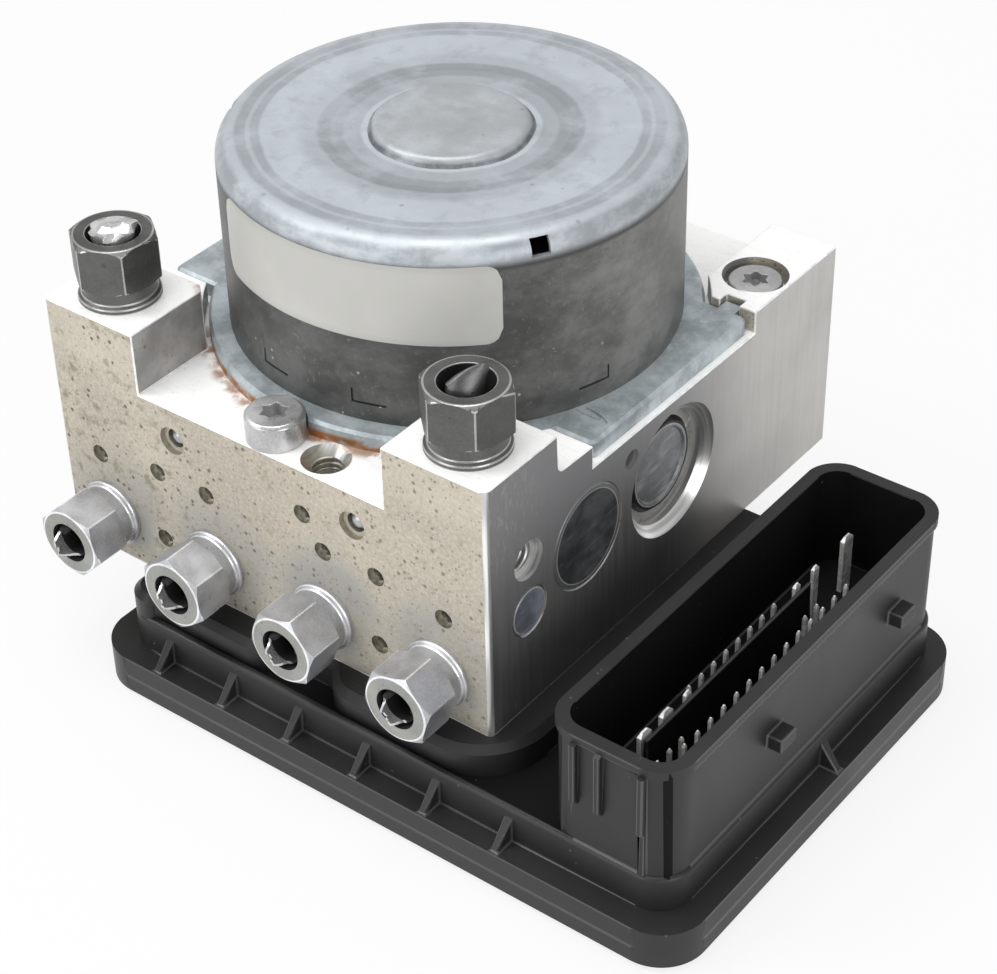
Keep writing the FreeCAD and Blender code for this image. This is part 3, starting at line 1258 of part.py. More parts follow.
def blade_pins():
    pins = [pin(BLADE_X, y, BLADE_WIDTH, BLADE_THICKNESS, BLADE_TIP) for y in BLADE_PLACES_Y]
    pins.append(pin(BLADE_SIDE_X, BLADE_PLACES_Y[-1], BLADE_WIDTH, BLADE_THICKNESS, BLADE_TIP))
    pins.extend(pin(BLADE_X, y, TALL_PIN_WIDTH, BLADE_THICKNESS, BLADE_TIP)
                for y in TALL_PIN_PLACES_Y)
    return pins


def small_pins():
    pins = [pin(PIN_X, PIN_START_Y + k * PIN_PITCH, PIN_WIDTH, PIN_WIDTH, PIN_TIP)
            for k in range(PIN_COUNT)]
    pins.extend(pin(BLADE_X, HIDDEN_PIN_START_Y + k * HIDDEN_PIN_PITCH, PIN_WIDTH, PIN_WIDTH,
                    HIDDEN_PIN_TIP) for k in range(HIDDEN_PIN_COUNT))
    pins.extend(pin(SHORT_PIN_X, y, PIN_WIDTH, PIN_WIDTH, SHORT_PIN_TIP)
                for y in SHORT_PIN_PLACES_Y)
    return pins


def all_pins():
    return blade_pins() + small_pins()


def at_valve(shape, x, y):
    return placed(shape, V(x, y, BLOCK_BASE), UP)


def valve_nodes():
    """Bodies and plungers of the four inlet and four outlet valves, and their coils."""
    nodes = {}
    coils = []
    for kind, y, lift in (("inlet", INLET_ROW_Y, PLUNGER_TRAVEL), ("outlet", OUTLET_ROW_Y, 0.0)):
        for k, x in enumerate(VALVE_XS):
            nodes["%s_valve_%d" % (kind, k + 1)] = at_valve(valve_body(), x, y)
            nodes["%s_plunger_%d" % (kind, k + 1)] = at_valve(valve_plunger(lift), x, y)
            coils.append(at_valve(valve_coil(), x, y))
    nodes["valve_coils"] = group(coils)
    return nodes


def side_nodes():
    """Pump element and accumulator of each side."""
    nodes = {}
    for direction, side in SIDES:
        nodes["pump_sleeve_" + side] = on_pump_axis(pump_sleeve(), direction)
        nodes["pump_piston_" + side] = on_pump_axis(pump_piston(), direction)
        nodes["pump_spring_" + side] = on_pump_axis(pump_spring(), direction)
        nodes["pump_cap_" + side] = on_pump_axis(pump_cap(direction), direction)
        nodes["accumulator_cover_" + side] = on_side_face(accumulator_cover(), direction)
        nodes["accumulator_piston_" + side] = on_side_face(accumulator_piston(), direction)
        nodes["accumulator_spring_" + side] = on_side_face(accumulator_spring(), direction)
    return nodes


def all_nodes():
    nodes = {
        "valve_block": valve_block(),
        "wheel_line_nuts": wheel_line_nuts(),
        "master_line_nuts": master_line_nuts(),
        "tube_ends": tube_ends(),
        "ball_plugs": ball_plugs(),
        "side_plugs": side_plugs(),
        "cap_screw": cap_screw(),
        "post_screw": post_screw(),
        "eccentric_ring": eccentric_ring(),
        "motor_flange": motor_flange(),
        "motor_can": motor_can(),
        "motor_label": motor_label(),
        "lower_bearing": lower_bearing(),
        "upper_bearing": upper_bearing(),
        "motor_shaft": motor_shaft(),
        "armature_core": armature_core(),
        "armature_winding": armature_winding(),
        "commutator": commutator(),
        "motor_magnets": motor_magnets(),
        "motor_brushes": motor_brushes(),
        "brush_holder": brush_holder(),
        "contact_stem": contact_stem(),
        "unit_housing": unit_housing(),
        "unit_cover": unit_cover(),
        "unit_seal": unit_seal(),
        "unit_screws": unit_screws(),
        "circuit_board": circuit_board(),
        "blade_contacts": group(blade_pins()),
        "pin_contacts": group(small_pins()),
    }
    nodes.update(side_nodes())
    nodes.update(valve_nodes())
    return nodes


os.makedirs("parts", exist_ok=True)
for node, shape in all_nodes().items():
    print(node, "valid" if shape.isValid() else "NOT VALID", len(shape.Solids), round(shape.Volume, 1))
    shape.exportStep("parts/%s.step" % node)
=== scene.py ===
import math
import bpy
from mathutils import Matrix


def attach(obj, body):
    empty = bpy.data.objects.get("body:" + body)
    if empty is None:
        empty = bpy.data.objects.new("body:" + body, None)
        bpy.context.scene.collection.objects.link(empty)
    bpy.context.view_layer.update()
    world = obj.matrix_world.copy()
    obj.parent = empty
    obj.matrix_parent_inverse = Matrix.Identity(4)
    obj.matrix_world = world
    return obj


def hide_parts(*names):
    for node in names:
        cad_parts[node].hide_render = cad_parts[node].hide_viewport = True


bl_info = {
    "name": "Brake module finish",
    "version": (1, 0, 0),
    "blender": (4, 5, 0),
    "location": "3D View > Sidebar > Brake module",
    "description": "Dresses the packed brake module with its finishes and fine detail",
    "category": "Object",
}

import bmesh
import bpy
from mathutils import Matrix, Vector

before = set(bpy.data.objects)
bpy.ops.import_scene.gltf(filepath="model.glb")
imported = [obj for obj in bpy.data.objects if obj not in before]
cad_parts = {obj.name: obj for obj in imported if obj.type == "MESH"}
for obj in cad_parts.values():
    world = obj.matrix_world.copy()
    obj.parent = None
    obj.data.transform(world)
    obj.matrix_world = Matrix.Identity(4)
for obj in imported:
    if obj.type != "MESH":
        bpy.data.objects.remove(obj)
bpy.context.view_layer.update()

MM = 0.001
MERGE = 2e-6
ROOT = "module"

# Places and sizes that repeat those of the frame, in millimetres
BLOCK_MIDDLE = -1.1
BLOCK_RIGHT = 43.4
BLOCK_FRONT = -48.6
POST_TOP = 65.4
SIDE_THREAD = (37.1, -38.6, 47.1)
LEDGE_THREAD = (9.0, -44.0, 48.4)
THREAD_R = 2.5
PIN_BOTTOM = 6.2
WHEEL_PORTS = ((-35.6, 26.9), (-12.6, 26.9), (10.4, 26.9), (33.4, 26.9))
MASTER_PORTS = ((-36.3, -40.4), (34.1, -40.4))
WHEEL_NUT_HEIGHT = 10.6
MASTER_NUT_HEIGHT = 11.5
WHEEL_BORE_R = 3.62
MASTER_BORE_R = 4.42
FLANGE_TOP = 57.2
CAN_TOP = 89.5

# Mouths in the side faces: y, z, radius
SIDE_MOUTHS = ((0.0, 40.4, 11.75), (-38.6, 47.1, 3.6), (-11.7, 49.5, 1.9))

# The socket's chamber, as its two corners in x and y and its top, and the deck's heights
CHAMBER_LOW = (59.8, -53.8)
CHAMBER_HIGH = (79.6, 22.2)
CHAMBER_TOP = 35.2
DECK_HEIGHTS = (8.0, 13.5)

# Rows of contacts: x, first y, pitch, count, width, thickness, tip height
BLADE_ROWS = (
    (67.0, -41.9, 5.7, 2, 2.8, 0.8, 28.0),
    (67.0, 15.9, 1.0, 1, 2.8, 0.8, 28.0),
    (75.2, 15.9, 1.0, 1, 2.8, 0.8, 28.0),
)
PIN_ROWS = (
    (67.0, -30.5, 1.0, 1, 1.5, 0.64, 27.6),
    (67.0, 0.5, 5.6, 2, 1.5, 0.64, 28.0),
    (71.4, -37.7, 3.57, 14, 0.64, 0.64, 24.5),
    (65.2, -27.3, 3.45, 8, 0.64, 0.64, 25.4),
    (69.7, -42.3, 3.2, 3, 0.64, 0.64, 23.6),
    (69.7, -0.9, 3.5, 2, 0.64, 0.64, 23.6),
)

# A wheel tube: its wall, how deep it stands in the block and how far it ends in its nut
TUBE_WALL = 0.45
TUBE_FOOT = -6.0
TUBE_SETBACK = 0.9

# Its torn lips: angle in degrees, span, reach
TEARS = ((225.0, 110.0, 2.3), (118.0, 60.0, 1.0))

# Sections of the crushed and of the pinched master tube, up from the mouth of the nut:
# x, y, height, half width, half thickness, turn in degrees
CRUSHED_SECTIONS = (
    (0.0, 0.0, -19.5, 3.0, 3.0, 30),
    (0.0, 0.0, -2.0, 3.2, 3.2, 30),
    (0.0, 0.0, -0.2, 3.5, 3.1, 30),
    (0.3, 0.3, 0.9, 3.6, 2.6, 34),
    (0.6, 0.5, 1.5, 3.1, 1.7, 38),
    (0.8, 0.6, 1.7, 1.9, 0.7, 40),
)
PINCHED_SECTIONS = (
    (0.0, 0.0, -19.5, 3.0, 3.0, 60),
    (0.0, 0.0, -3.4, 3.0, 2.9, 60),
    (-0.2, -0.1, -1.6, 3.1, 2.3, 58),
    (-0.1, 0.1, -0.3, 3.0, 1.6, 55),
    (0.5, 0.6, 0.9, 2.5, 0.9, 52),
    (1.1, 1.3, 1.9, 1.6, 0.45, 50),
    (1.6, 1.9, 2.5, 0.5, 0.2, 50),
)

# The motor case: its wall, the bend of its shoulder, its boss and the dish round that
CASE_WALL = 0.75
CASE_BEND = 3.4
BOSS_TOP = CAN_TOP + 0.65
DISH = CAN_TOP - 0.7

# Pressed windows and cut tabs of the motor case, in degrees and millimetres
WINDOW_ANGLES = (-31.0, -157.0, 94.0)
WINDOW_HEIGHTS = (86.2, 88.8)
TAB_FOOT = FLANGE_TOP + 3.0
TAB_ANGLES = (-101.0, -73.0, -17.0, 33.0, 79.0, 107.0, 163.0, -147.0)

# The label, wrapped round the case
LABEL_HEIGHTS = (72.4, 86.0)
LABEL_ANGLES = (-120.0, -40.5)
LABEL_CORNER = 2.6

# Painted light and shade of the pressed bands on top of the motor case: where each starts and ends,
# and its lightness
CASE_BAND_SHADES = (
    (12.5, 12.9, 0.3),
    (13.25, 13.45, 1.35),
    (14.0, 14.6, 0.98),
    (16.6, 17.4, 0.78),
    (18.8, 19.2, 0.7),
    (20.6, 21.4, 1.0),
    (22.6, 25.0, 1.22),
    (29.8, 30.4, 0.86),
    (31.4, 31.7, 1.05),
    (32.1, 32.4, 0.84),
    (33.6, 34.4, 1.12),
)

# Colours of dirt and wear, and of painted light and shade
PIT = (0.1, 0.085, 0.06, 1.0)
SMALL_PIT = (0.17, 0.145, 0.1, 1.0)
NUT_SHADE = (0.315, 0.31, 0.288, 1.0)
STAIN = (0.2, 0.175, 0.12, 1.0)
DRILLED = (0.3, 0.268, 0.19, 1.0)
SPRAY = (0.4, 0.39, 0.36, 1.0)
SCRATCH = (0.4, 0.4, 0.4, 1.0)
FLECK = (0.36, 0.34, 0.3, 1.0)
CASE_DUST = (0.42, 0.4, 0.34, 1.0)
CASE_RIGHT_LIGHT = (0.3, 0.3, 0.29, 1.0)
PLASTIC_DUST = (0.22, 0.21, 0.2, 1.0)
LABEL_SOIL = (0.3, 0.28, 0.25, 1.0)
DISC_RIM = (0.42, 0.42, 0.42, 1.0)
DEEP_SHADE = (0.008, 0.008, 0.008, 1.0)

# The photograph's camera, in millimetres and degrees
CAMERA_PLACE = (221.9, -272.65, 282.7)
CAMERA_AIM = (-49.78, 73.22, -48.89)
CAMERA_ROLL = -1.38
CAMERA_LENS = 91.35

# Lamps: name, place, aim, size in metres, power
LAMPS = (
    ("Overhead", (-0.05, -0.1, 1.2), (0.0, 0.0, 0.05), 0.9, 9.0),
    ("Key", (-0.55, -0.45, 0.8), (0.0, 0.0, 0.05), 0.4, 3.2),
    ("Front fill", (-0.25, -1.0, 0.3), (0.0, 0.0, 0.04), 0.7, 3.4),
    ("Right fill", (0.9, -0.35, 0.35), (0.0, 0.0, 0.04), 0.6, 3.2),
)

materials = {}
shared = {}


# Meshes


def add_piece(name, mesh, finishes, replaces=(), smooth=35, weighted=True):
    """Link a finished mesh as a piece that rides on the module, with its finishes by name."""
    indices = [0] * len(mesh.polygons)
    mesh.polygons.foreach_get("material_index", indices)
    mesh.materials.clear()
    for finish in finishes:
        mesh.materials.append(materials[finish])
    mesh.polygons.foreach_set("material_index", indices)
    if smooth:
        mesh.polygons.foreach_set("use_smooth", [True] * len(mesh.polygons))
        mesh.set_sharp_from_angle(angle=math.radians(smooth))
    piece = bpy.data.objects.new(name, mesh)
    bpy.context.scene.collection.objects.link(piece)
    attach(piece, ROOT)
    if replaces:
        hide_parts(*replaces)
    if weighted:
        modifier = piece.modifiers.new("Weighted normals", "WEIGHTED_NORMAL")
        modifier.keep_sharp = True
    return piece


def paint(node, finish):
    """Give a CAD node its finish."""
    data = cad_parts[node].data
    data.materials.clear()
    data.materials.append(materials[finish])


def mesh_from(bm, name):
    """A new mesh from a bmesh, which is freed."""
    mesh = bpy.data.meshes.new(name)
    bm.to_mesh(mesh)
    bm.free()
    return mesh


def joined(name, meshes):
    """Several meshes as one."""
    bm = bmesh.new()
    for mesh in meshes:
        bm.from_mesh(mesh)
    return mesh_from(bm, name)


def merged(node):
    """The node's mesh as one closed skin with each flat in one piece."""
    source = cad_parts[node].data
    bare = bpy.data.meshes.new(node)
    corners = [v.co for v in source.vertices]
    bare.from_pydata(corners, [], [tuple(p.vertices) for p in source.polygons])
    bm = bmesh.new()
    bm.from_mesh(bare)
    bpy.data.meshes.remove(bare)
    bmesh.ops.remove_doubles(bm, verts=bm.verts, dist=MERGE)
    bmesh.ops.dissolve_degenerate(bm, dist=MERGE, edges=bm.edges)
    bmesh.ops.dissolve_limit(bm, angle_limit=math.radians(0.4), verts=bm.verts, edges=bm.edges)
    return bm


def eased(node, name, width, angle=40, shortest=0.9):
    """A copy of the node with its sharp edges eased; the eased band is material 1."""
    bm = merged(node)
    sharp = [
        e
        for e in bm.edges
        if e.is_manifold
        and e.calc_face_angle() > math.radians(angle)
        and e.calc_length() > shortest * MM
    ]
    bmesh.ops.bevel(
        bm,
        geom=sharp,
        offset=width,
        offset_type="OFFSET",
        segments=2,
        profile=0.5,
        affect="EDGES",
        clamp_overlap=False,
        material=1,
    )
    return mesh_from(bm, name)


def arc(centre, radius, start, end, steps):
    """Points of a profile on an arc, in degrees, as (radius, height)."""
    points = []
    for i in range(steps + 1):
        angle = math.radians(start + (end - start) * i / steps)
        points.append((centre[0] + radius * math.cos(angle), centre[1] + radius * math.sin(angle)))
    return points


def spun(name, profile, segments=160):
    """A closed skin turned about Z from a closed profile of (radius, height), in millimetres."""
    bm = bmesh.new()
    rings = []
    for radius, height in profile:
        if radius < 1e-6:
            rings.append([bm.verts.new((0.0, 0.0, height * MM))])
            continue
        ring = []
        for i in range(segments):
            angle = 2 * math.pi * i / segments
            place = (radius * math.cos(angle) * MM, radius * math.sin(angle) * MM, height * MM)
            ring.append(bm.verts.new(place))
        rings.append(ring)
    for lower, upper in zip(rings, rings[1:] + rings[:1]):
        if len(lower) == 1 and len(upper) == 1:
            continue
        for i in range(segments):
            j = (i + 1) % segments
            below = [lower[k % len(lower)] for k in (i, j)]
            above = [upper[k % len(upper)] for k in (j, i)]
            bm.faces.new(list(dict.fromkeys(below + above)))
    bmesh.ops.recalc_face_normals(bm, faces=bm.faces)
    return mesh_from(bm, name)


def blocks(name, boxes):
    """Boxes about Z, each as its low corner, its high corner and its turn in degrees."""
    bm = bmesh.new()
    for low, high, angle in boxes:
        made = bmesh.ops.create_cube(bm, size=1.0)["verts"]
        size = [(b - a) * MM for a, b in zip(low, high)]
        middle = [(a + b) / 2 * MM for a, b in zip(low, high)]
        bmesh.ops.scale(bm, vec=size, verts=made)
        bmesh.ops.translate(bm, vec=middle, verts=made)
        turn = Matrix.Rotation(math.radians(angle), 3, "Z")
        bmesh.ops.rotate(bm, cent=(0, 0, 0), matrix=turn, verts=made)
    return mesh_from(bm, name)


def cut(mesh, tools, name):
    """The mesh with the tools cut away."""
    body = bpy.data.objects.new(name, mesh)
    tool = bpy.data.objects.new(name + "_tool", tools)
    for each in (body, tool):
        bpy.context.scene.collection.objects.link(each)
    modifier = body.modifiers.new("Cut", "BOOLEAN")
    modifier.operation = "DIFFERENCE"
    modifier.solver = "EXACT"
    modifier.object = tool
    modifier.use_self = True
    depsgraph = bpy.context.evaluated_depsgraph_get()
    result = bpy.data.meshes.new_from_object(body.evaluated_get(depsgraph))
    for each in (body, tool):
        bpy.data.objects.remove(each)
    return result


def skinned(name, rings):
    """A closed skin over rings of points in millimetres."""
    bm = bmesh.new()
    made = [[bm.verts.new(tuple(c * MM for c in point)) for point in ring] for ring in rings]
    count = len(made[0])
    for lower, upper in zip(made, made[1:]):
        for i in range(count):
            j = (i + 1) % count
            bm.faces.new((lower[i], lower[j], upper[j], upper[i]))
    bm.faces.new(made[0][::-1])
    bm.faces.new(made[-1])
    bmesh.ops.recalc_face_normals(bm, faces=bm.faces)
    return mesh_from(bm, name)


def torn_tube(name, tube_r, wall, foot, edge, tears):
    """Tube along Z whose lip is torn out and bent inwards over some spans."""
    count = 64

    def lip(angle):
        reach = 0.25 * math.sin(3 * angle + 0.7) + 0.12 * math.sin(11 * angle)
        bend = 0.0
        for centre, span, height in tears:
            off = (math.degrees(angle) - centre + 180) % 360 - 180
            share = max(0.0, 1 - abs(off) / (span / 2))
            rise = height * min(1.0, share * 2.2)
            jag = 0.16 * math.sin(23 * angle) * share
            reach += rise + jag
            bend = max(bend, share)
        return reach, bend

    def ring(radius, share):
        points = []
        for i in range(count):
            angle = 2 * math.pi * i / count
            reach, bend = lip(angle)
            height = foot + (edge - foot) * min(share, 1.0)
            lift = max(0.0, share - 1.0)
            height += reach * lift
            inward = bend * lift * lift * (0.95 + 0.3 * math.sin(5 * angle))
            r = radius - inward
            points.append((r * math.cos(angle), r * math.sin(angle), height))
        return points

    outer = [ring(tube_r, s) for s in (0.0, 0.5, 1.0, 1.25, 1.5, 1.75, 2.0)]
    inner = [ring(tube_r - wall, s) for s in (2.0, 1.75, 1.5, 1.25, 1.0, 0.5, 0.3)]
    return skinned(name, outer + inner)


def pressed_stub(name, sections, mouth, crumple):
    """Crushed tube over its sections, with heights from the mouth of its nut."""
    count = 28
    rings = []
    for level, (x, y, height, wide, thick, turn) in enumerate(sections):
        angle = math.radians(turn)
        ring = []
        for i in range(count):
            around = 2 * math.pi * i / count
            rough = 1 + crumple * math.sin(5 * around + 1.7 * level) * min(1.0, level / 2)
            u = wide * math.cos(around) * rough
            v = thick * math.sin(around) * rough
            lift = crumple * 1.6 * math.sin(3 * around + 2.1 * level)
            ring.append(
                (
                    x + u * math.cos(angle) - v * math.sin(angle),
                    y + u * math.sin(angle) + v * math.cos(angle),
                    mouth + height + lift,
                )
            )
        rings.append(ring)
    return skinned(name, rings)


def wrapped_label(case_r):
    """Blank label with rounded corners, wrapped round the case."""
    low, high = LABEL_HEIGHTS
    start, end = LABEL_ANGLES
    corner = LABEL_CORNER
    under, over = case_r + 0.02, case_r + 0.17
    span = math.radians(end - start) * case_r
    columns, rows = 72, 10
    rings = []
    for i in range(columns + 1):
        along = span * i / columns
        inset = min(along, span - along)
        drop = 0.0
        if inset < corner:
            drop = corner - math.sqrt(max(0.0, corner**2 - (corner - inset) ** 2))
        angle = math.radians(start) + along / case_r
        heights = [low + drop + (high - low - 2 * drop) * k / rows for k in range(rows + 1)]
        ring = [(under * math.cos(angle), under * math.sin(angle), z) for z in heights]
        ring += [(over * math.cos(angle), over * math.sin(angle), z) for z in heights[::-1]]
        rings.append(ring)
    return skinned("Motor_label", rings)


# Node trees


class Tree:
    """Adds nodes to a tree, with each input as a value or as a socket to link."""

    def __init__(self, tree):
        self.tree = tree

    def fill(self, node, inputs):
        for key, value in inputs.items():
            if isinstance(value, bpy.types.NodeSocket):
                self.tree.links.new(value, node.inputs[key])
            else:
                node.inputs[key].default_value = value
        return node

    def add(self, kind, inputs=None, **settings):
        node = self.tree.nodes.new(kind)
        for key, value in settings.items():
            setattr(node, key, value)
        return self.fill(node, inputs or {})

    def group(self, name, inputs):
        node = self.tree.nodes.new("ShaderNodeGroup")
        node.node_tree = shared[name]
        return self.fill(node, inputs).outputs

    def maths(self, operation, a, b=0.0, clamp=False):
        node = self.add("ShaderNodeMath", {0: a, 1: b}, operation=operation, use_clamp=clamp)
        return node.outputs[0]

    def times(self, first, *others):
        for other in others:
            first = self.maths("MULTIPLY", first, other)
        return first

    def ramp(self, value, low, high, to_low=0.0, to_high=1.0):
        node = self.add(
            "ShaderNodeMapRange",
            {0: value, 1: low, 2: high, 3: to_low, 4: to_high},
            interpolation_type="SMOOTHSTEP",
        )
        return node.outputs[0]

    def blend(self, share, a, b):
        return self.add("ShaderNodeMix", {0: share, 6: a, 7: b}, data_type="RGBA").outputs[2]

    def mottle(self, value, low, high, colour, dark, light):
        """Two tones of a colour, blended by a value between low and high."""
        return self.blend(self.ramp(value, low, high), tone(colour, dark), tone(colour, light))

    def noise(self, vector, scale, detail=4.0, roughness=0.55):
        inputs = {"Vector": vector, "Scale": scale, "Detail": detail, "Roughness": roughness}
        return self.add("ShaderNodeTexNoise", inputs).outputs["Fac"]

    def grain(self, vector, stretch, detail, roughness=0.55):
        """Noise that is drawn out along the directions with the lower numbers."""
        drawn = self.add("ShaderNodeMapping", {"Vector": vector, "Scale": stretch})
        return self.noise(drawn.outputs[0], 1.0, detail, roughness)

    def pits(self, vector, scale, size, share):
        inputs = {"Vector": vector, "Scale": scale, "Size": size, "Share": share}
        return self.group("pits", inputs)["Mask"]

    def patches(self, vector, scale, level, softness):
        inputs = {"Vector": vector, "Scale": scale, "Level": level, "Softness": softness}
        return self.group("speckle", inputs)["Mask"]

    def place(self):
        return self.add("ShaderNodeTexCoord").outputs["Object"]

    def split(self, vector):
        return self.add("ShaderNodeSeparateXYZ", {0: vector}).outputs

    def length(self, a, b):
        """The length of a flat vector."""
        flat = self.add("ShaderNodeCombineXYZ", {0: a, 1: b, 2: 0.0}).outputs[0]
        return self.add("ShaderNodeVectorMath", {0: flat}, operation="LENGTH").outputs["Value"]

    def near(self, place, centre, inner, outer):
        """A mask that is 1 within a ball about a place, in millimetres."""
        middle = tuple(c * MM for c in centre)
        gap = self.add("ShaderNodeVectorMath", {0: place, 1: middle}, operation="DISTANCE")
        return self.ramp(gap.outputs["Value"], inner * MM, outer * MM, 1.0, 0.0)


def new_tree(kind, name, inputs, outputs):
    """An empty tree with named inputs, as (label, kind, default or nothing), and outputs."""
    tree = bpy.data.node_groups.new(name, kind)
    for label, socket_kind, *default in inputs:
        socket = tree.interface.new_socket(
            label, in_out="INPUT", socket_type="NodeSocket" + socket_kind
        )
        if default:
            socket.default_value = default[0]
    for label, socket_kind in outputs:
        tree.interface.new_socket(
            label, in_out="OUTPUT", socket_type="NodeSocket" + socket_kind
        )
    made = Tree(tree)
    return made, made.add("NodeGroupInput").outputs, made.add("NodeGroupOutput").inputs


def pits_group():
    """Small round marks of uneven size, scattered over the surface."""
    made, given, out = new_tree(
        "ShaderNodeTree",
        "Pits",
        (
            ("Vector", "Vector"),
            ("Scale", "Float", 700.0),
            ("Size", "Float", 0.3),
            ("Share", "Float", 0.3),
        ),
        (("Mask", "Float"), ("Height", "Float")),
    )
    cells = made.add("ShaderNodeTexVoronoi", {"Vector": given["Vector"], "Scale": given["Scale"]})
    chance = made.split(cells.outputs["Color"])
    chosen = made.maths("LESS_THAN", chance[0], given["Share"])
    size = made.times(given["Size"], made.ramp(chance[1], 0.0, 1.0, 0.35, 1.0))
    inside = made.maths("SUBTRACT", size, cells.outputs["Distance"])
    depth = made.maths("DIVIDE", inside, made.times(size, 0.45), True)
    mask = made.times(depth, chosen)
    made.tree.links.new(mask, out["Mask"])
    made.tree.links.new(made.maths("SUBTRACT", 1.0, mask), out["Height"])
    return made.tree


def speckle_group():
    """Soft patches, cut from noise at a level."""
    made, given, out = new_tree(
        "ShaderNodeTree",
        "Speckle",
        (
            ("Vector", "Vector"),
            ("Scale", "Float", 300.0),
            ("Level", "Float", 0.6),
            ("Softness", "Float", 0.05),
        ),
        (("Mask", "Float"),),
    )
    value = made.noise(given["Vector"], given["Scale"], 6.0, 0.6)
    high = made.maths("ADD", given["Level"], given["Softness"])
    mask = made.add("ShaderNodeMapRange", {0: value, 1: given["Level"], 2: high})
    made.tree.links.new(mask.outputs[0], out["Mask"])
    return made.tree


def scratches_group():
    """Thin wandering lines, stretched along one direction."""
    made, given, out = new_tree(
        "ShaderNodeTree",
        "Scratches",
        (
            ("Vector", "Vector"),
            ("Stretch", "Vector", (1.0, 1.0, 1.0)),
            ("Scale", "Float", 60.0),
            ("Width", "Float", 0.01),
            ("Share", "Float", 0.5),
        ),
        (("Mask", "Float"),),
    )
    drawn = made.add(
        "ShaderNodeVectorMath", {0: given["Vector"], 1: given["Stretch"]}, operation="MULTIPLY"
    )
    value = made.noise(drawn.outputs[0], given["Scale"], 2.0, 0.5)
    gap = made.maths("ABSOLUTE", made.maths("SUBTRACT", value, 0.5))
    line = made.maths("SUBTRACT", 1.0, made.maths("DIVIDE", gap, given["Width"]), True)
    where = made.noise(given["Vector"], 90.0, 2.0)
    kept = made.maths("LESS_THAN", where, given["Share"])
    made.tree.links.new(made.times(line, kept), out["Mask"])
    return made.tree


def facing_group():
    """How much a surface faces up and to a side."""
    made, given, out = new_tree(
        "ShaderNodeTree",
        "Facing",
        (("Normal", "Vector"),),
        (("Up", "Float"), ("Side", "Float")),
    )
    x, y, z = made.split(given["Normal"])
    made.tree.links.new(made.ramp(z, 0.55, 0.8), out["Up"])
    made.tree.links.new(made.ramp(made.maths("ABSOLUTE", x), 0.55, 0.8), out["Side"])
    return made.tree


def build_shared_groups():
    shared["pits"] = pits_group()
    shared["speckle"] = speckle_group()
    shared["scratches"] = scratches_group()
    shared["facing"] = facing_group()


# Finishes


def tone(colour, share):
    """The colour made lighter or darker."""
    return tuple(min(1.0, c * share) for c in colour[:3]) + (1.0,)


def grey(value):
    return (value, value, value, 1.0)


def new_material(name, colour, metallic, roughness, gloss=None):
    """A material with its plain values, and the tree to add its detail to."""
    material = bpy.data.materials.new(name)
    material.use_nodes = True
    material.diffuse_color = (*colour[:3], 1.0)
    shader = material.node_tree.nodes["Principled BSDF"]
    shader.inputs["Base Color"].default_value = (*colour[:3], 1.0)
    shader.inputs["Metallic"].default_value = metallic
    shader.inputs["Roughness"].default_value = roughness
    if gloss is not None:
        shader.inputs["Specular IOR Level"].default_value = gloss
    return material, Tree(material.node_tree)


def finished(material, tree, base, rough=None, height=None, strength=0.15, distance=0.1):
    """Feed a finish's colour, roughness and height, in millimetres, to its shader."""
    shader = material.node_tree.nodes["Principled BSDF"]
    tree.tree.links.new(base, shader.inputs["Base Color"])
    if rough is not None:
        tree.tree.links.new(rough, shader.inputs["Roughness"])
    if height is not None:
        inputs = {"Height": height, "Strength": strength, "Distance": distance * MM}
        bump = tree.add("ShaderNodeBump", inputs)
        tree.tree.links.new(bump.outputs[0], shader.inputs["Normal"])
    return material


def outer_side(tree, x):
    """A mask that is 1 on the outer side faces of the block."""
    return tree.ramp(tree.maths("ABSOLUTE", x), 0.0425, 0.043)


def block_material(finish):
    """Blasted front, bright milled top, and extruded outer sides painted dark as a painted
    reflection.
    """
    material, tree = new_material("Block aluminium", finish.front, 0.25, 0.5)
    coordinates = tree.add("ShaderNodeTexCoord").outputs
    place = coordinates["Object"]
    x, y, z = tree.split(place)
    facing = tree.group("facing", {"Normal": coordinates["Normal"]})
    front = front_finish(tree, place, x, z, finish)
    side = side_reflection_and_wear(tree, place, x, y, z, finish)
    # Side faces take the side colouring, whose outer faces carry a painted dark reflection
    base = tree.blend(facing["Side"], front, side)
    base = tree.blend(facing["Up"], base, top_finish(tree, place, x, y, finish))
    clear = tree.maths("SUBTRACT", 1.0, tree.times(facing["Side"], outer_side(tree, x)))
    pits = tree.group("pits", {"Vector": place, "Scale": 700.0, "Size": 0.3, "Share": 0.56})
    level = tree.maths("SUBTRACT", 1.0, facing["Up"])
    level = tree.times(tree.maths("ADD", tree.times(level, 0.85), 0.1), clear)
    leftward = tree.ramp(x, -0.04, 0.03, 1.0, 0.7)
    base = tree.blend(tree.times(pits["Mask"], level, leftward), base, PIT)
    small = tree.pits(place, 1500.0, 0.42, 0.6)
    base = tree.blend(tree.times(small, level, 0.75), base, SMALL_PIT)
    rough = tree.blend(facing["Side"], grey(0.6), grey(0.36))
    rough = tree.blend(facing["Up"], rough, grey(0.4))
    fine = tree.noise(place, 1500.0, 3.0, 0.7)
    height = tree.times(tree.maths("ADD", fine, pits["Height"]), clear)
    return finished(material, tree, base, rough, height, 0.3)


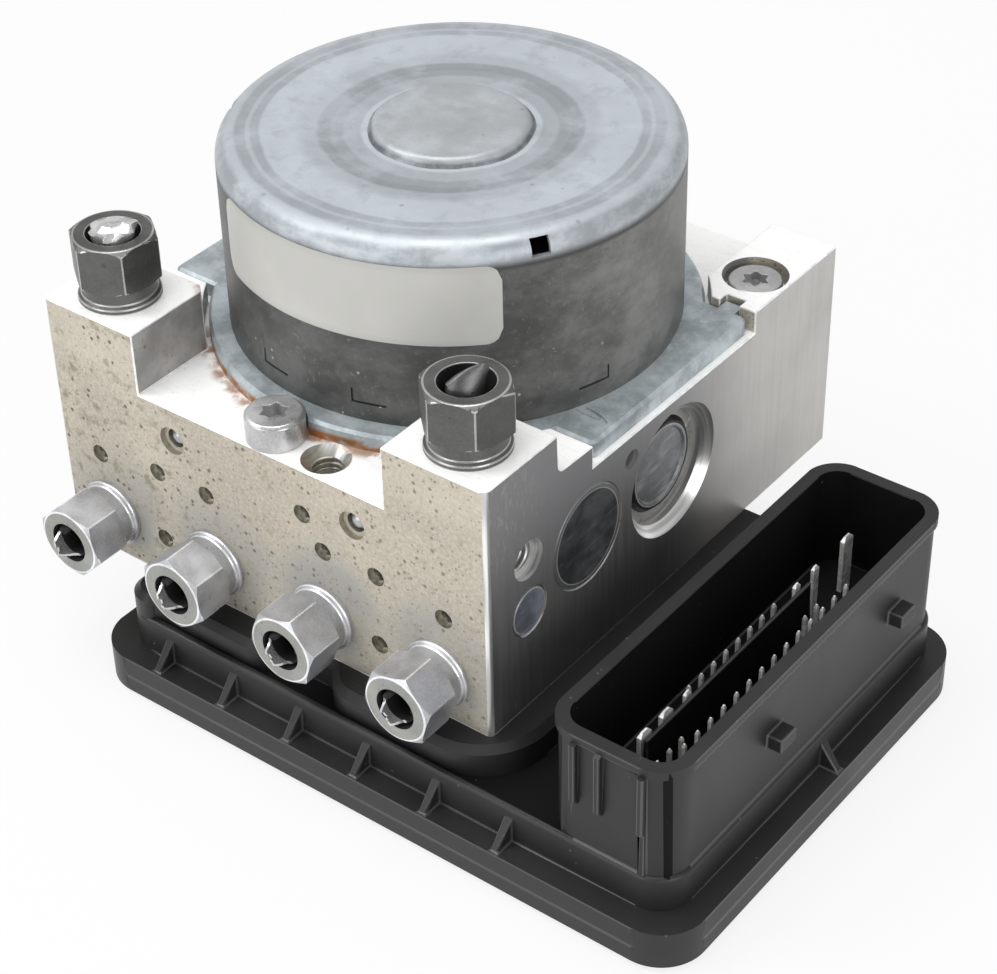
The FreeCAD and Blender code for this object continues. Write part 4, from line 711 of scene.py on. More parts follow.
def front_finish(tree, place, x, z, finish):
    """Sandy blasted skin, stained brown at the left, with painted grey shade round the nuts."""
    cloud = tree.noise(place, 50.0, 6.0, 0.62)
    fine = tree.noise(place, 1500.0, 3.0, 0.7)
    base = tree.mottle(cloud, 0.35, 0.65, finish.front, 0.84, 1.1)
    base = tree.blend(0.5, base, tree.mottle(fine, 0.35, 0.7, finish.front, 0.7, 1.2))
    for port_x, port_z in WHEEL_PORTS:
        # Painted shade: a soft grey patch round each nut
        nut_shade = tree.near(place, (port_x + 1.5, BLOCK_FRONT, port_z + 3.0), 6.5, 14.0)
        nut_shade = tree.times(nut_shade, tree.ramp(cloud, 0.36, 0.6, 0.3, 0.95))
        base = tree.blend(nut_shade, base, NUT_SHADE)
    left = tree.ramp(x, -0.046, 0.02, 0.95, 0.32)
    stain = tree.times(tree.patches(place, 420.0, 0.56, 0.14), left)
    base = tree.blend(stain, base, STAIN)
    rubbed = tree.times(tree.ramp(z, 0.0565, 0.0582), 0.25)
    return tree.blend(rubbed, base, tone(finish.front, 1.25))


def top_finish(tree, place, x, y, finish):
    """Bright milled faces with faint grey clouds of painted reflection, cutter marks and rust by
    the flange.
    """
    milled = tone(finish.milled, 1.0)
    # Painted reflection: faint grey clouds stand for the mottled reflection of the milled metal
    cloud = tree.ramp(tree.noise(place, 75.0, 5.0, 0.6), 0.56, 0.76, 0.0, 0.4)
    base = tree.blend(cloud, milled, tone(milled, 0.7))
    streak = tree.ramp(tree.grain(place, (60.0, 1100.0, 1100.0), 2.0), 0.5, 0.75, 0.0, 0.15)
    base = tree.blend(streak, base, tone(milled, 0.7))
    radius = tree.length(x, y)
    ring = tree.times(
        tree.ramp(radius, 0.0405, 0.0409),
        tree.ramp(radius, 0.0416, 0.0436, 1.0, 0.0),
        tree.ramp(x, -0.033, -0.029, 0.0, 0.8),
        tree.ramp(y, -0.024, -0.03),
        tree.ramp(tree.noise(place, 260.0, 4.0), 0.4, 0.58),
    )
    return tree.blend(ring, base, tone(finish.rust, 1.0))


def side_reflection_and_wear(tree, place, x, y, z, finish):
    """Outer skin painted dark near the front as a painted dark reflection, painted lighter towards
    the top, paler towards the back, with pale scratches and spray; mid grey between the posts.
    """
    # Painted reflection: the dark side colour stands for the dark surroundings that the aluminium
    # reflects
    dark = finish.side
    # Painted light: the outer side is made up to three times lighter towards the top
    side = tree.mottle(z, 0.032, 0.06, dark, 1.0, 3.0)
    side = tree.blend(tree.ramp(y, -0.004, 0.026), side, tone(finish.side_rear, 1.0))
    grain = tree.grain(place, (900.0, 900.0, 40.0), 4.0, 0.6)
    side = tree.blend(tree.ramp(grain, 0.3, 0.75, 0.0, 0.22), side, tone(dark, 3.2))
    patch = tree.noise(place, 60.0, 5.0, 0.6)
    side = tree.blend(tree.ramp(patch, 0.35, 0.7, 0.0, 0.25), side, tone(dark, 2.2))
    spray = tree.grain(place, (1500.0, 1500.0, 420.0), 3.0, 0.7)
    corner = tree.times(tree.ramp(y, -0.03, -0.046), tree.ramp(z, 0.042, 0.06))
    sprayed = tree.times(tree.ramp(spray, 0.52, 0.66), corner, 0.55)
    side = tree.blend(sprayed, side, SPRAY)
    lines = tree.group(
        "scratches",
        {"Vector": place, "Stretch": (1.0, 2.4, 0.7), "Scale": 150.0, "Width": 0.004, "Share": 0.4},
    )
    side = tree.blend(tree.times(lines["Mask"], 0.3), side, SCRATCH)
    side = tree.blend(tree.times(tree.pits(place, 1100.0, 0.24, 0.16), 0.6), side, FLECK)
    cloud = tree.noise(place, 110.0, 5.0, 0.6)
    inner = tree.mottle(cloud, 0.35, 0.66, finish.inner_side, 0.75, 1.25)
    return tree.blend(outer_side(tree, x), inner, side)


def edge_material(finish):
    """Bright edge of the block, partly rubbed metal and partly a painted highlight."""
    material, tree = new_material("Block edge", finish.milled, 0.4, 0.32)
    worn = tree.noise(tree.place(), 500.0, 4.0)
    base = tree.mottle(worn, 0.35, 0.7, finish.milled, 0.75, 1.0)
    return finished(material, tree, base, None, worn, 0.2, 0.05)


def bore_material(finish):
    """Turned metal inside bores and threads, stained in the front drillings."""
    material, tree = new_material("Turned bore", finish.milled, 0.8, 0.28)
    place = tree.place()
    x, y, z = tree.split(place)
    rings = tree.grain(place, (1800.0, 60.0, 60.0), 2.0)
    base = tree.mottle(rings, 0.35, 0.7, finish.milled, 0.52, 0.93)
    drilled = tree.times(
        tree.ramp(y, -0.0405, -0.0425),
        tree.ramp(z, 0.0575, 0.0565),
        tree.ramp(tree.maths("ABSOLUTE", x), 0.0415, 0.041),
        0.75,
    )
    return finished(material, tree, tree.blend(drilled, base, DRILLED))


def steel_material(name, colour, roughness, dark, spot_scale=420.0, metallic=0.75):
    """Plated steel with dull spots and handling marks."""
    material, tree = new_material(name, colour, metallic, roughness)
    place = tree.place()
    cloud = tree.noise(place, 150.0, 5.0, 0.6)
    base = tree.mottle(cloud, 0.35, 0.68, colour, 0.82, 1.1)
    spots = tree.group(
        "pits", {"Vector": place, "Scale": spot_scale, "Size": 0.3, "Share": 0.3}
    )
    base = tree.blend(tree.times(spots["Mask"], dark), base, tone(colour, 0.35))
    grain = tree.noise(place, 2600.0, 2.0)
    base = tree.blend(tree.ramp(grain, 0.4, 0.7, 0.0, 0.3), base, tone(colour, 1.35))
    rough = tree.ramp(cloud, 0.3, 0.7, roughness - 0.08, roughness + 0.14)
    height = tree.maths("ADD", grain, spots["Height"])
    return finished(material, tree, base, rough, height, 0.2, 0.08)


def plain_material(name, colour, metallic, roughness, scale=300.0):
    """Even finish with light cloud and grain, for the parts inside."""
    material, tree = new_material(name, colour, metallic, roughness)
    place = tree.place()
    cloud = tree.noise(place, scale, 4.0)
    base = tree.mottle(cloud, 0.3, 0.7, colour, 0.82, 1.12)
    rough = tree.ramp(cloud, 0.3, 0.7, roughness - 0.06, roughness + 0.1)
    return finished(material, tree, base, rough, tree.noise(place, 2200.0, 2.0), 0.15, 0.06)


def case_top_finish(tree, place, radius, cloud, top):
    """Pale galvanised top with painted light and shade on its pressed bands."""
    base = tone((top[0], top[1] * 0.97, top[2] * 0.95), 0.96)
    # Painted light and shade: each pressed band is made lighter or darker by its share
    for start, end, share in CASE_BAND_SHADES:
        base = tree.blend(tree.ramp(radius, start * MM, end * MM), base, tone(top, share))
    base = tree.blend(tree.ramp(cloud, 0.42, 0.64, 0.0, 0.5), base, tone(top, 1.4))
    patch = tree.noise(place, 190.0, 6.0, 0.7)
    base = tree.blend(tree.ramp(patch, 0.5, 0.68, 0.0, 0.4), base, tone(top, 0.74))
    specks = tree.times(tree.pits(place, 420.0, 0.2, 0.1), 0.45)
    return tree.blend(specks, base, tone(top, 0.45))


def case_side_finish(tree, place, x, z, mottle, side):
    """Dark side with dust low down, a paler right in painted light, and a painted shadow below the
    shoulder.
    """
    base = tree.mottle(mottle, 0.38, 0.66, side, 0.72, 1.3)
    fleck = tree.noise(place, 900.0, 3.0, 0.7)
    base = tree.blend(tree.ramp(fleck, 0.58, 0.7, 0.0, 0.5), base, tone(side, 2.1))
    dust = tree.times(tree.pits(place, 640.0, 0.22, 0.16), tree.ramp(z, 0.076, 0.06))
    base = tree.blend(dust, base, CASE_DUST)
    # Painted light: the right of the case is made paler
    worn = tree.times(
        tree.ramp(x, 0.03, 0.0373, 0.0, 0.5), tree.ramp(mottle, 0.32, 0.72, 0.35, 1.0)
    )
    base = tree.blend(worn, base, CASE_RIGHT_LIGHT)
    # Painted shadow: a darker band just below the shoulder
    return tree.blend(tree.ramp(z, 0.0846, 0.0854), base, tone(side, 0.6))


def can_material(finish):
    """Galvanised case: pale rings of painted light and shade on top, a bright shoulder in painted
    highlight, and a dark scuffed side.
    """
    material, tree = new_material("Motor case", finish.case_side, 0.4, 0.42)
    place = tree.place()
    x, y, z = tree.split(place)
    drift = tree.maths("SUBTRACT", tree.noise(place, 90.0, 3.0), 0.5)
    radius = tree.maths("ADD", tree.length(x, y), tree.times(drift, 0.0014))
    cloud = tree.noise(place, 70.0, 6.0, 0.68)
    stretched = tree.add("ShaderNodeMapping", {"Vector": place, "Scale": (1.0, 1.0, 1.6)})
    mottle = tree.noise(stretched.outputs[0], 120.0, 8.0, 0.72)
    top = case_top_finish(tree, place, radius, cloud, finish.case_top)
    side = case_side_finish(tree, place, x, z, mottle, finish.case_side)
    # Painted highlight: the shoulder takes the pale colour of the top
    shoulder = tree.mottle(mottle, 0.4, 0.64, finish.case_top, 0.8, 1.2)
    base = tree.blend(tree.ramp(z, 0.0852, 0.0868), side, shoulder)
    base = tree.blend(tree.ramp(z, 0.0886, 0.0893), base, top)
    base = tree.blend(tree.ramp(radius, 0.0335, 0.0345), top, base)
    rough = tree.ramp(mottle, 0.3, 0.7, 0.36, 0.54)
    height = tree.maths("ADD", cloud, tree.noise(place, 1400.0, 3.0))
    return finished(material, tree, base, rough, height)


def flange_material(finish):
    """Blue-grey plated flange with a thin line of rust at its front foot."""
    material, tree = new_material("Motor flange", finish.flange, 0.4, 0.4)
    place = tree.place()
    x, y, z = tree.split(place)
    mottle = tree.noise(place, 150.0, 6.0, 0.68)
    base = tree.mottle(mottle, 0.36, 0.66, finish.flange, 0.72, 1.22)
    pale = tree.noise(place, 420.0, 4.0, 0.7)
    base = tree.blend(tree.ramp(pale, 0.56, 0.7, 0.0, 0.4), base, tone(finish.flange, 1.7))
    rust = tree.times(
        tree.ramp(y, -0.026, -0.032),
        tree.ramp(z, 0.0562, 0.0552),
        tree.patches(place, 300.0, 0.4, 0.12),
    )
    base = tree.blend(rust, base, tone(finish.rust, 1.0))
    return finished(material, tree, base, None, mottle, 0.2)


def plastic_material(name, colour, roughness=0.42, rubbed=1.0, gloss=0.42):
    """Moulded glass-filled plastic, even and black with a little dust."""
    material, tree = new_material(name, colour, 0.0, roughness, gloss)
    place = tree.place()
    cloud = tree.noise(place, 30.0, 4.0, 0.55)
    # The rubbed share scales the tone: lighter on eased edges as wear and painted highlight, darker
    # in the chamber as painted shade
    base = tree.mottle(cloud, 0.35, 0.7, colour, 0.85 * rubbed, 1.2 * rubbed)
    base = tree.blend(tree.times(tree.pits(place, 900.0, 0.2, 0.07), 0.4), base, PLASTIC_DUST)
    rough = tree.ramp(cloud, 0.3, 0.7, roughness - 0.05, roughness + 0.08)
    return finished(material, tree, base, rough, tree.noise(place, 1700.0, 3.0), 0.08)


def label_material(finish):
    """Bare film label, slightly grey and soiled at its edges."""
    material, tree = new_material("Label film", finish.label, 0.0, 0.42)
    place = tree.place()
    z = tree.split(place)[2]
    base = tree.mottle(tree.noise(place, 60.0, 5.0), 0.35, 0.7, finish.label, 0.94, 1.03)
    low, high = (height * MM for height in LABEL_HEIGHTS)
    below = tree.ramp(z, low + 1.4 * MM, low, 0.0, 0.3)
    above = tree.ramp(z, high - 1.4 * MM, high, 0.0, 0.3)
    edge = tree.maths("ADD", below, above)
    base = tree.blend(edge, base, tone(finish.label, 0.7))
    base = tree.blend(tree.times(tree.pits(place, 500.0, 0.15, 0.08), 0.4), base, LABEL_SOIL)
    return finished(material, tree, base)


def disc_material(name, colour, centre, radius, finish, sunk=False):
    """Pressed disc with a fine pale rim, about its centre in Y and Z; what is past it blends into
    the side colouring, and round a sunk disc into painted deep shade.
    """
    material, tree = new_material(name, colour, 0.4, 0.4)
    place = tree.place()
    x, y, z = tree.split(place)
    across, up = (tree.maths("SUBTRACT", a, b * MM) for a, b in zip((y, z), centre))
    reach = tree.length(across, up)
    cloud = tree.noise(place, 160.0, 5.0, 0.62)
    base = tree.mottle(cloud, 0.36, 0.66, colour, 0.7, 1.45)
    grain = tree.grain(place, (900.0, 120.0, 900.0), 3.0, 0.6)
    base = tree.blend(tree.ramp(grain, 0.5, 0.75, 0.0, 0.4), base, tone(colour, 2.6))
    # Painted shade: round a sunk disc the recess is painted near black
    past = DEEP_SHADE if sunk else side_reflection_and_wear(tree, place, x, y, z, finish)
    base = tree.blend(tree.ramp(reach, (radius - 0.1) * MM, radius * MM), base, past)
    rim = tree.times(
        tree.ramp(reach, (radius - 0.3) * MM, (radius - 0.2) * MM),
        tree.ramp(reach, (radius - 0.1) * MM, radius * MM, 1.0, 0.0),
        0.8,
    )
    base = tree.blend(rim, base, DISC_RIM)
    rough = tree.ramp(cloud, 0.3, 0.7, 0.32, 0.5)
    return finished(material, tree, base, rough, tree.noise(place, 1800.0, 2.0), 0.15, 0.06)


def build_materials(finish):
    """Every finish of the module, by name."""
    materials.update(
        block=block_material(finish),
        edge=edge_material(finish),
        bore=bore_material(finish),
        nut=steel_material("Line nut steel", finish.nut, 0.36, 0.45),
        nut_face=steel_material("Line nut face", finish.nut_face, 0.5, 0.5, 900.0, 0.4),
        # Painted highlight: the eased chamfers of the nuts are painted much paler than the nuts
        nut_edge=steel_material("Line nut edge", (0.8, 0.8, 0.82), 0.3, 0.2),
        dark_nut=steel_material("Master nut steel", finish.dark_nut, 0.4, 0.5),
        dark_edge=steel_material("Master nut edge", (0.4, 0.4, 0.4), 0.3, 0.4),
        tube=steel_material("Torn tube steel", finish.tube, 0.22, 0.3, 900.0),
        dark_tube=steel_material("Pinched tube steel", finish.dark_tube, 0.3, 0.3, 900.0),
        # Painted shade: near black for the inside of the bores, and for the tubes deep in them
        soot=plain_material("Painted bore shade", (0.006, 0.006, 0.006), 0.0, 0.8),
        ball=steel_material("Plug steel", finish.nut, 0.3, 0.4),
        cover_disc=disc_material("Accumulator disc", finish.disc, (-23.4, 41.9), 8.2, finish),
        pump_disc=disc_material("Pump cap", finish.pump_cap, (0.0, 40.4), 7.3, finish, True),
        side_disc=disc_material("Side plug", finish.side_plug, (-38.5, 37.1), 4.0, finish),
        screw=steel_material("Screw steel", finish.screw, 0.34, 0.35),
        can=can_material(finish),
        flange=flange_material(finish),
        label=label_material(finish),
        housing=plastic_material("Unit plastic", finish.plastic),
        cover=plastic_material("Cover plastic", tone(finish.plastic, 1.15)),
        # Partly wear, partly painted highlight: the eased edges of the plastic are painted lighter
        rubbed=plastic_material("Rubbed plastic with painted highlight", finish.plastic, 0.3, 3.6, 0.5),
        # Painted shade: the chamber and the deck take a darker plastic with little gloss
        matt=plastic_material("Plastic in painted shade", finish.plastic, 0.6, 0.4, 0.1),
        seal=plain_material("Seal rubber", (0.03, 0.03, 0.032), 0.0, 0.7),
        board=plain_material("Board laminate", (0.05, 0.16, 0.07), 0.0, 0.45),
        tin=plain_material("Tinned contact", finish.tin, 0.35, 0.25, 500.0),
        coil=plain_material("Coil body", (0.05, 0.05, 0.055), 0.0, 0.5),
        inner=plain_material("Inner steel", (0.55, 0.55, 0.56), 0.9, 0.3),
        spring=plain_material("Spring steel", (0.42, 0.42, 0.44), 0.9, 0.3),
        stack=plain_material("Lamination stack", (0.3, 0.31, 0.33), 0.8, 0.45),
        copper=plain_material("Copper", (0.72, 0.33, 0.2), 0.95, 0.3),
        ferrite=plain_material("Ferrite", (0.09, 0.09, 0.1), 0.1, 0.7),
        carbon=plain_material("Carbon", (0.045, 0.045, 0.05), 0.1, 0.6),
        holder=plain_material("Holder plastic", (0.16, 0.12, 0.08), 0.0, 0.5),
    )


# Repeated forms, made with geometry nodes


def geometry_tree(name, inputs):
    return new_tree("GeometryNodeTree", name, inputs, (("Geometry", "Geometry"),))


def closed_tree(made, solid, material, out):
    """End a geometry tree: its instances become real, and take the finish."""
    real = made.add("GeometryNodeRealizeInstances", {0: solid})
    inputs = {"Geometry": real.outputs[0], "Material": material}
    dressed = made.add("GeometryNodeSetMaterial", inputs)
    made.tree.links.new(dressed.outputs[0], out["Geometry"])
    return made.tree


def grown(tree, values, name):
    """The plain mesh that a geometry tree makes from named values."""
    holder = bpy.data.objects.new(name, bpy.data.meshes.new(name))
    bpy.context.scene.collection.objects.link(holder)
    modifier = holder.modifiers.new(name, "NODES")
    modifier.node_group = tree
    for item in tree.interface.items_tree:
        if item.in_out == "INPUT" and item.name in values:
            modifier[item.identifier] = values[item.name]
    depsgraph = bpy.context.evaluated_depsgraph_get()
    mesh = bpy.data.meshes.new_from_object(holder.evaluated_get(depsgraph))
    holder.modifiers.remove(modifier)
    bpy.data.objects.remove(holder)
    return mesh


def thread_tree():
    """A helical ridge: radius, pitch, number of turns and depth."""
    made, given, out = geometry_tree(
        "Thread",
        (
            ("Radius", "Float"),
            ("Pitch", "Float"),
            ("Turns", "Float"),
            ("Depth", "Float"),
            ("Material", "Material"),
        ),
    )
    helix = made.add(
        "GeometryNodeCurveSpiral",
        {
            "Resolution": 28,
            "Rotations": given["Turns"],
            "Start Radius": given["Radius"],
            "End Radius": given["Radius"],
            "Height": made.times(given["Pitch"], given["Turns"]),
        },
    )
    upright = made.add("GeometryNodeSetCurveNormal", {"Curve": helix.outputs[0]}, mode="Z_UP")
    ridge = made.add(
        "GeometryNodeCurvePrimitiveCircle", {"Resolution": 4, "Radius": given["Depth"]}
    )
    swept = made.add(
        "GeometryNodeCurveToMesh",
        {"Curve": upright.outputs[0], "Profile Curve": ridge.outputs["Curve"], "Fill Caps": True},
    )
    return closed_tree(made, swept.outputs[0], given["Material"], out)


def contact_tree():
    """A row of contacts, each a flat bar with a coined tip."""
    made, given, out = geometry_tree(
        "Contact row",
        (
            ("Count", "Int"),
            ("Start", "Vector"),
            ("Step", "Vector"),
            ("Size", "Vector"),
            ("Tip", "Float"),
            ("Material", "Material"),
        ),
    )
    x, y, z = made.split(given["Size"])
    shank = made.maths("SUBTRACT", z, given["Tip"])
    size = made.add("ShaderNodeCombineXYZ", {0: x, 1: y, 2: shank})
    lift = made.add("ShaderNodeCombineXYZ", {2: made.times(shank, 0.5)})
    bar = made.add("GeometryNodeMeshCube", {"Size": size.outputs[0]})
    bar = made.add(
        "GeometryNodeTransform", {"Geometry": bar.outputs[0], "Translation": lift.outputs[0]}
    )
    corner = math.sqrt(0.5)
    tip = made.add(
        "GeometryNodeMeshCone",
        {"Vertices": 4, "Radius Top": corner * 0.45, "Radius Bottom": corner, "Depth": 1.0},
    )
    tip = made.add(
        "GeometryNodeTransform",
        {"Geometry": tip.outputs["Mesh"], "Rotation": (0.0, 0.0, math.pi / 4)},
    )
    tip_size = made.add("ShaderNodeCombineXYZ", {0: x, 1: y, 2: given["Tip"]})
    tip_place = made.add("ShaderNodeCombineXYZ", {2: shank})
    tip = made.add(
        "GeometryNodeTransform",
        {
            "Geometry": tip.outputs[0],
            "Translation": tip_place.outputs[0],
            "Scale": tip_size.outputs[0],
        },
    )
    whole = made.add("GeometryNodeJoinGeometry")
    made.tree.links.new(bar.outputs[0], whole.inputs[0])
    made.tree.links.new(tip.outputs[0], whole.inputs[0])
    row = made.add(
        "GeometryNodeMeshLine",
        {"Count": given["Count"], "Start Location": given["Start"], "Offset": given["Step"]},
        mode="OFFSET",
    )
    stood = made.add(
        "GeometryNodeInstanceOnPoints", {"Points": row.outputs[0], "Instance": whole.outputs[0]}
    )
    return closed_tree(made, stood.outputs[0], given["Material"], out)


def contact_rows(name, rows, tip):
    """Contacts in rows, each with a tip of the given length in metres."""
    tree = contact_tree()
    made = []
    for x, y, pitch, count, width, thickness, top in rows:
        values = {
            "Count": count,
            "Start": (x * MM, y * MM, PIN_BOTTOM * MM),
            "Step": (0.0, pitch * MM, 0.0),
            "Size": (thickness * MM, width * MM, (top - PIN_BOTTOM) * MM),
            "Tip": tip,
            "Material": materials["tin"],
        }
        made.append(grown(tree, values, name))
    return joined(name, made)


# Settings


class ModuleSizes(bpy.types.PropertyGroup):
    """Sizes of the fine detail"""

    block_edge: bpy.props.FloatProperty(
        name="Block edge",
        description="Width of the rubbed edge of the valve block",
        default=0.00022,
        unit="LENGTH",
    )
    nut_edge: bpy.props.FloatProperty(
        name="Nut edge",
        description="Width of the rounded edges of the line nuts",
        default=0.00018,
        unit="LENGTH",
    )
    plastic_edge: bpy.props.FloatProperty(
        name="Plastic edge",
        description="Rounding of the moulded edges of the control unit",
        default=0.0003,
        unit="LENGTH",
    )
    thread_pitch: bpy.props.FloatProperty(
        name="Thread pitch",
        description="Pitch of the bracket and ledge threads",
        default=0.001,
        unit="LENGTH",
    )
    thread_depth: bpy.props.FloatProperty(
        name="Thread depth",
        description="How far the thread stands out of its bore",
        default=0.00032,
        unit="LENGTH",
    )
    tube_r: bpy.props.FloatProperty(
        name="Tube radius",
        description="Outer radius of a torn wheel tube",
        default=0.003,
        unit="LENGTH",
    )
    case_r: bpy.props.FloatProperty(
        name="Case radius",
        description="Outer radius of the motor case",
        default=0.0373,
        unit="LENGTH",
    )
    contact_tip: bpy.props.FloatProperty(
        name="Contact tip",
        description="Length of the coined tip of a contact",
        default=0.0007,
        unit="LENGTH",
    )


class ModuleFinish(bpy.types.PropertyGroup):
    """Colours of the finishes"""

    front: bpy.props.FloatVectorProperty(
        name="Blasted front", description="Front face of the block",
        subtype="COLOR", default=(0.435, 0.398, 0.328),
    )
    milled: bpy.props.FloatVectorProperty(
        name="Milled top", description="Machined faces and edges of the block",
        subtype="COLOR", default=(0.97, 0.97, 0.96),
    )
    # Painted reflection: the outer side faces near the front are painted dark for the dark
    # surroundings they reflect
    side: bpy.props.FloatVectorProperty(
        name="Side in painted reflection", description="Outer side faces of the block near the front",
        subtype="COLOR", default=(0.078, 0.078, 0.08),
    )
    side_rear: bpy.props.FloatVectorProperty(
        name="Side rear", description="Outer side faces of the block near the back",
        subtype="COLOR", default=(0.47, 0.455, 0.43),
    )
    inner_side: bpy.props.FloatVectorProperty(
        name="Inner side", description="Faces between the posts of the block",
        subtype="COLOR", default=(0.27, 0.265, 0.255),
    )
    nut: bpy.props.FloatVectorProperty(
        name="Line nuts", description="Plated wheel line nuts",
        subtype="COLOR", default=(0.44, 0.445, 0.47),
    )
    nut_face: bpy.props.FloatVectorProperty(
        name="Nut faces", description="Dull outer faces of the wheel line nuts",
        subtype="COLOR", default=(0.27, 0.275, 0.255),
    )
    dark_nut: bpy.props.FloatVectorProperty(
        name="Master nuts", description="Gunmetal master line nuts",
        subtype="COLOR", default=(0.115, 0.115, 0.11),
    )
    tube: bpy.props.FloatVectorProperty(
        name="Tube ends", description="Torn tube ends",
        subtype="COLOR", default=(0.62, 0.62, 0.62),
    )
    dark_tube: bpy.props.FloatVectorProperty(
        name="Pinched tube", description="Pinched end of the right master tube",
        subtype="COLOR", default=(0.11, 0.11, 0.112),
    )
    disc: bpy.props.FloatVectorProperty(
        name="Accumulator discs", description="Flush discs of the accumulators",
        subtype="COLOR", default=(0.06, 0.063, 0.064),
    )
    pump_cap: bpy.props.FloatVectorProperty(
        name="Pump caps", description="Recessed caps of the pumps",
        subtype="COLOR", default=(0.2, 0.205, 0.21),
    )
    side_plug: bpy.props.FloatVectorProperty(
        name="Side plugs", description="Small flush plugs of the side faces",
        subtype="COLOR", default=(0.17, 0.185, 0.22),
    )
    screw: bpy.props.FloatVectorProperty(
        name="Screws", description="Screws of the block",
        subtype="COLOR", default=(0.5, 0.5, 0.5),
    )
    case_top: bpy.props.FloatVectorProperty(
        name="Case top", description="Galvanised top of the motor case",
        subtype="COLOR", default=(0.345, 0.372, 0.395),
    )
    case_side: bpy.props.FloatVectorProperty(
        name="Case side", description="Side of the motor case",
        subtype="COLOR", default=(0.082, 0.082, 0.08),
    )
    flange: bpy.props.FloatVectorProperty(
        name="Flange", description="Flange of the motor",
        subtype="COLOR", default=(0.38, 0.425, 0.445),
    )
    rust: bpy.props.FloatVectorProperty(
        name="Rust", description="Rust at the foot of the flange",
        subtype="COLOR", default=(0.3, 0.125, 0.035),
    )
    label: bpy.props.FloatVectorProperty(
        name="Label", description="Bare film label",
        subtype="COLOR", default=(0.405, 0.402, 0.38),
    )
    plastic: bpy.props.FloatVectorProperty(
        name="Plastic", description="Black plastic of the control unit",
        subtype="COLOR", default=(0.012, 0.012, 0.0125),
    )
    tin: bpy.props.FloatVectorProperty(
        name="Contacts", description="Tin plated contacts",
        subtype="COLOR", default=(0.88, 0.88, 0.86),
    )


# Operators


def floor_material():
    """Pale floor that the camera and the gloss see near white, with the object's shadow."""
    material, tree = new_material("Floor", (0.9, 0.9, 0.9), 0.0, 0.9)
    cloud = tree.noise(tree.place(), 3.0, 2.0)
    finished(material, tree, tree.blend(cloud, grey(0.89), grey(0.91)))
    path = tree.add("ShaderNodeLightPath").outputs
    seen = tree.maths("MAXIMUM", path["Is Camera Ray"], path["Is Glossy Ray"])
    glow = tree.add("ShaderNodeEmission", {"Color": grey(1.0), "Strength": 0.94})
    shader = material.node_tree.nodes["Principled BSDF"]
    mixed = tree.add(
        "ShaderNodeMixShader",
        {0: tree.times(seen, 0.88), 1: shader.outputs[0], 2: glow.outputs[0]},
    )
    output = material.node_tree.nodes["Material Output"]
    tree.tree.links.new(mixed.outputs[0], output.inputs["Surface"])
    return material


def studio_world():
    """Soft light all round, which the camera sees white."""
    world = bpy.data.worlds.new("Studio")
    world.use_nodes = True
    tree = Tree(world.node_tree)
    path = tree.add("ShaderNodeLightPath").outputs
    seen = tree.maths("MAXIMUM", path["Is Camera Ray"], path["Is Transmission Ray"])
    strength = tree.ramp(seen, 0.0, 1.0, 0.62, 1.0)
    back = world.node_tree.nodes["Background"]
    tree.fill(back, {"Color": (0.97, 0.97, 0.975, 1.0), "Strength": strength})
    return world


def add_lamp(name, place, aim, size, power):
    lamp = bpy.data.lights.new(name, "AREA")
    lamp.shape = "DISK"
    lamp.size = size
    lamp.energy = power
    holder = bpy.data.objects.new(name, lamp)
    holder.location = place
    direction = Vector(aim) - Vector(place)
    holder.rotation_mode = "QUATERNION"
    holder.rotation_quaternion = direction.to_track_quat("-Z", "Y")
    bpy.context.scene.collection.objects.link(holder)


def add_camera(scene):
    camera = bpy.data.cameras.new("Camera")
    camera.lens = CAMERA_LENS
    camera.sensor_width = 36.0
    camera.clip_start = 0.01
    camera.clip_end = 20.0
    holder = bpy.data.objects.new("Camera", camera)
    place = Vector(CAMERA_PLACE) * MM
    forward = (Vector(CAMERA_AIM) * MM - place).normalized()
    right = forward.cross(Vector((0, 0, 1))).normalized()
    up = right.cross(forward)
    roll = math.radians(CAMERA_ROLL)
    turned_right = math.cos(roll) * right + math.sin(roll) * up
    turned_up = -math.sin(roll) * right + math.cos(roll) * up
    axes = Matrix((turned_right, turned_up, -forward)).transposed()
    holder.matrix_world = Matrix.Translation(place) @ axes.to_4x4()
    scene.collection.objects.link(holder)
    scene.camera = holder


class MODULE_OT_stage(bpy.types.Operator):
    """Floor, lamps and camera"""

    bl_idname = "brake_module.stage"
    bl_label = "Stage"

    def execute(self, context):
        scene = context.scene
        scene.view_settings.view_transform = "Standard"
        bm = bmesh.new()
        bmesh.ops.create_circle(bm, cap_ends=True, segments=64, radius=4.0)
        floor = bpy.data.objects.new("Floor", mesh_from(bm, "Floor"))
        floor.location.z = -0.0002
        scene.collection.objects.link(floor)
        floor.data.materials.append(floor_material())
        scene.world = studio_world()
        for lamp in LAMPS:
            add_lamp(*lamp)
        add_camera(scene)
        return {"FINISHED"}


def in_bore(face):
    """Whether a face of the block lies in a mouth, bore or drilling."""
    middle = face.center / MM
    if face.area > 60 * MM * MM:
        return False
    if 30 < abs(middle.x) < BLOCK_RIGHT - 0.05:
        for y, z, radius in SIDE_MOUTHS:
            if math.hypot(middle.y - y, middle.z - z) < radius:
                return True
    slanted = max(abs(c) for c in face.normal) < 0.997
    fronted = BLOCK_FRONT + 0.05 < middle.y < BLOCK_FRONT + 8 and middle.z < 57.5
    return fronted and (slanted or face.area < 4 * MM * MM)


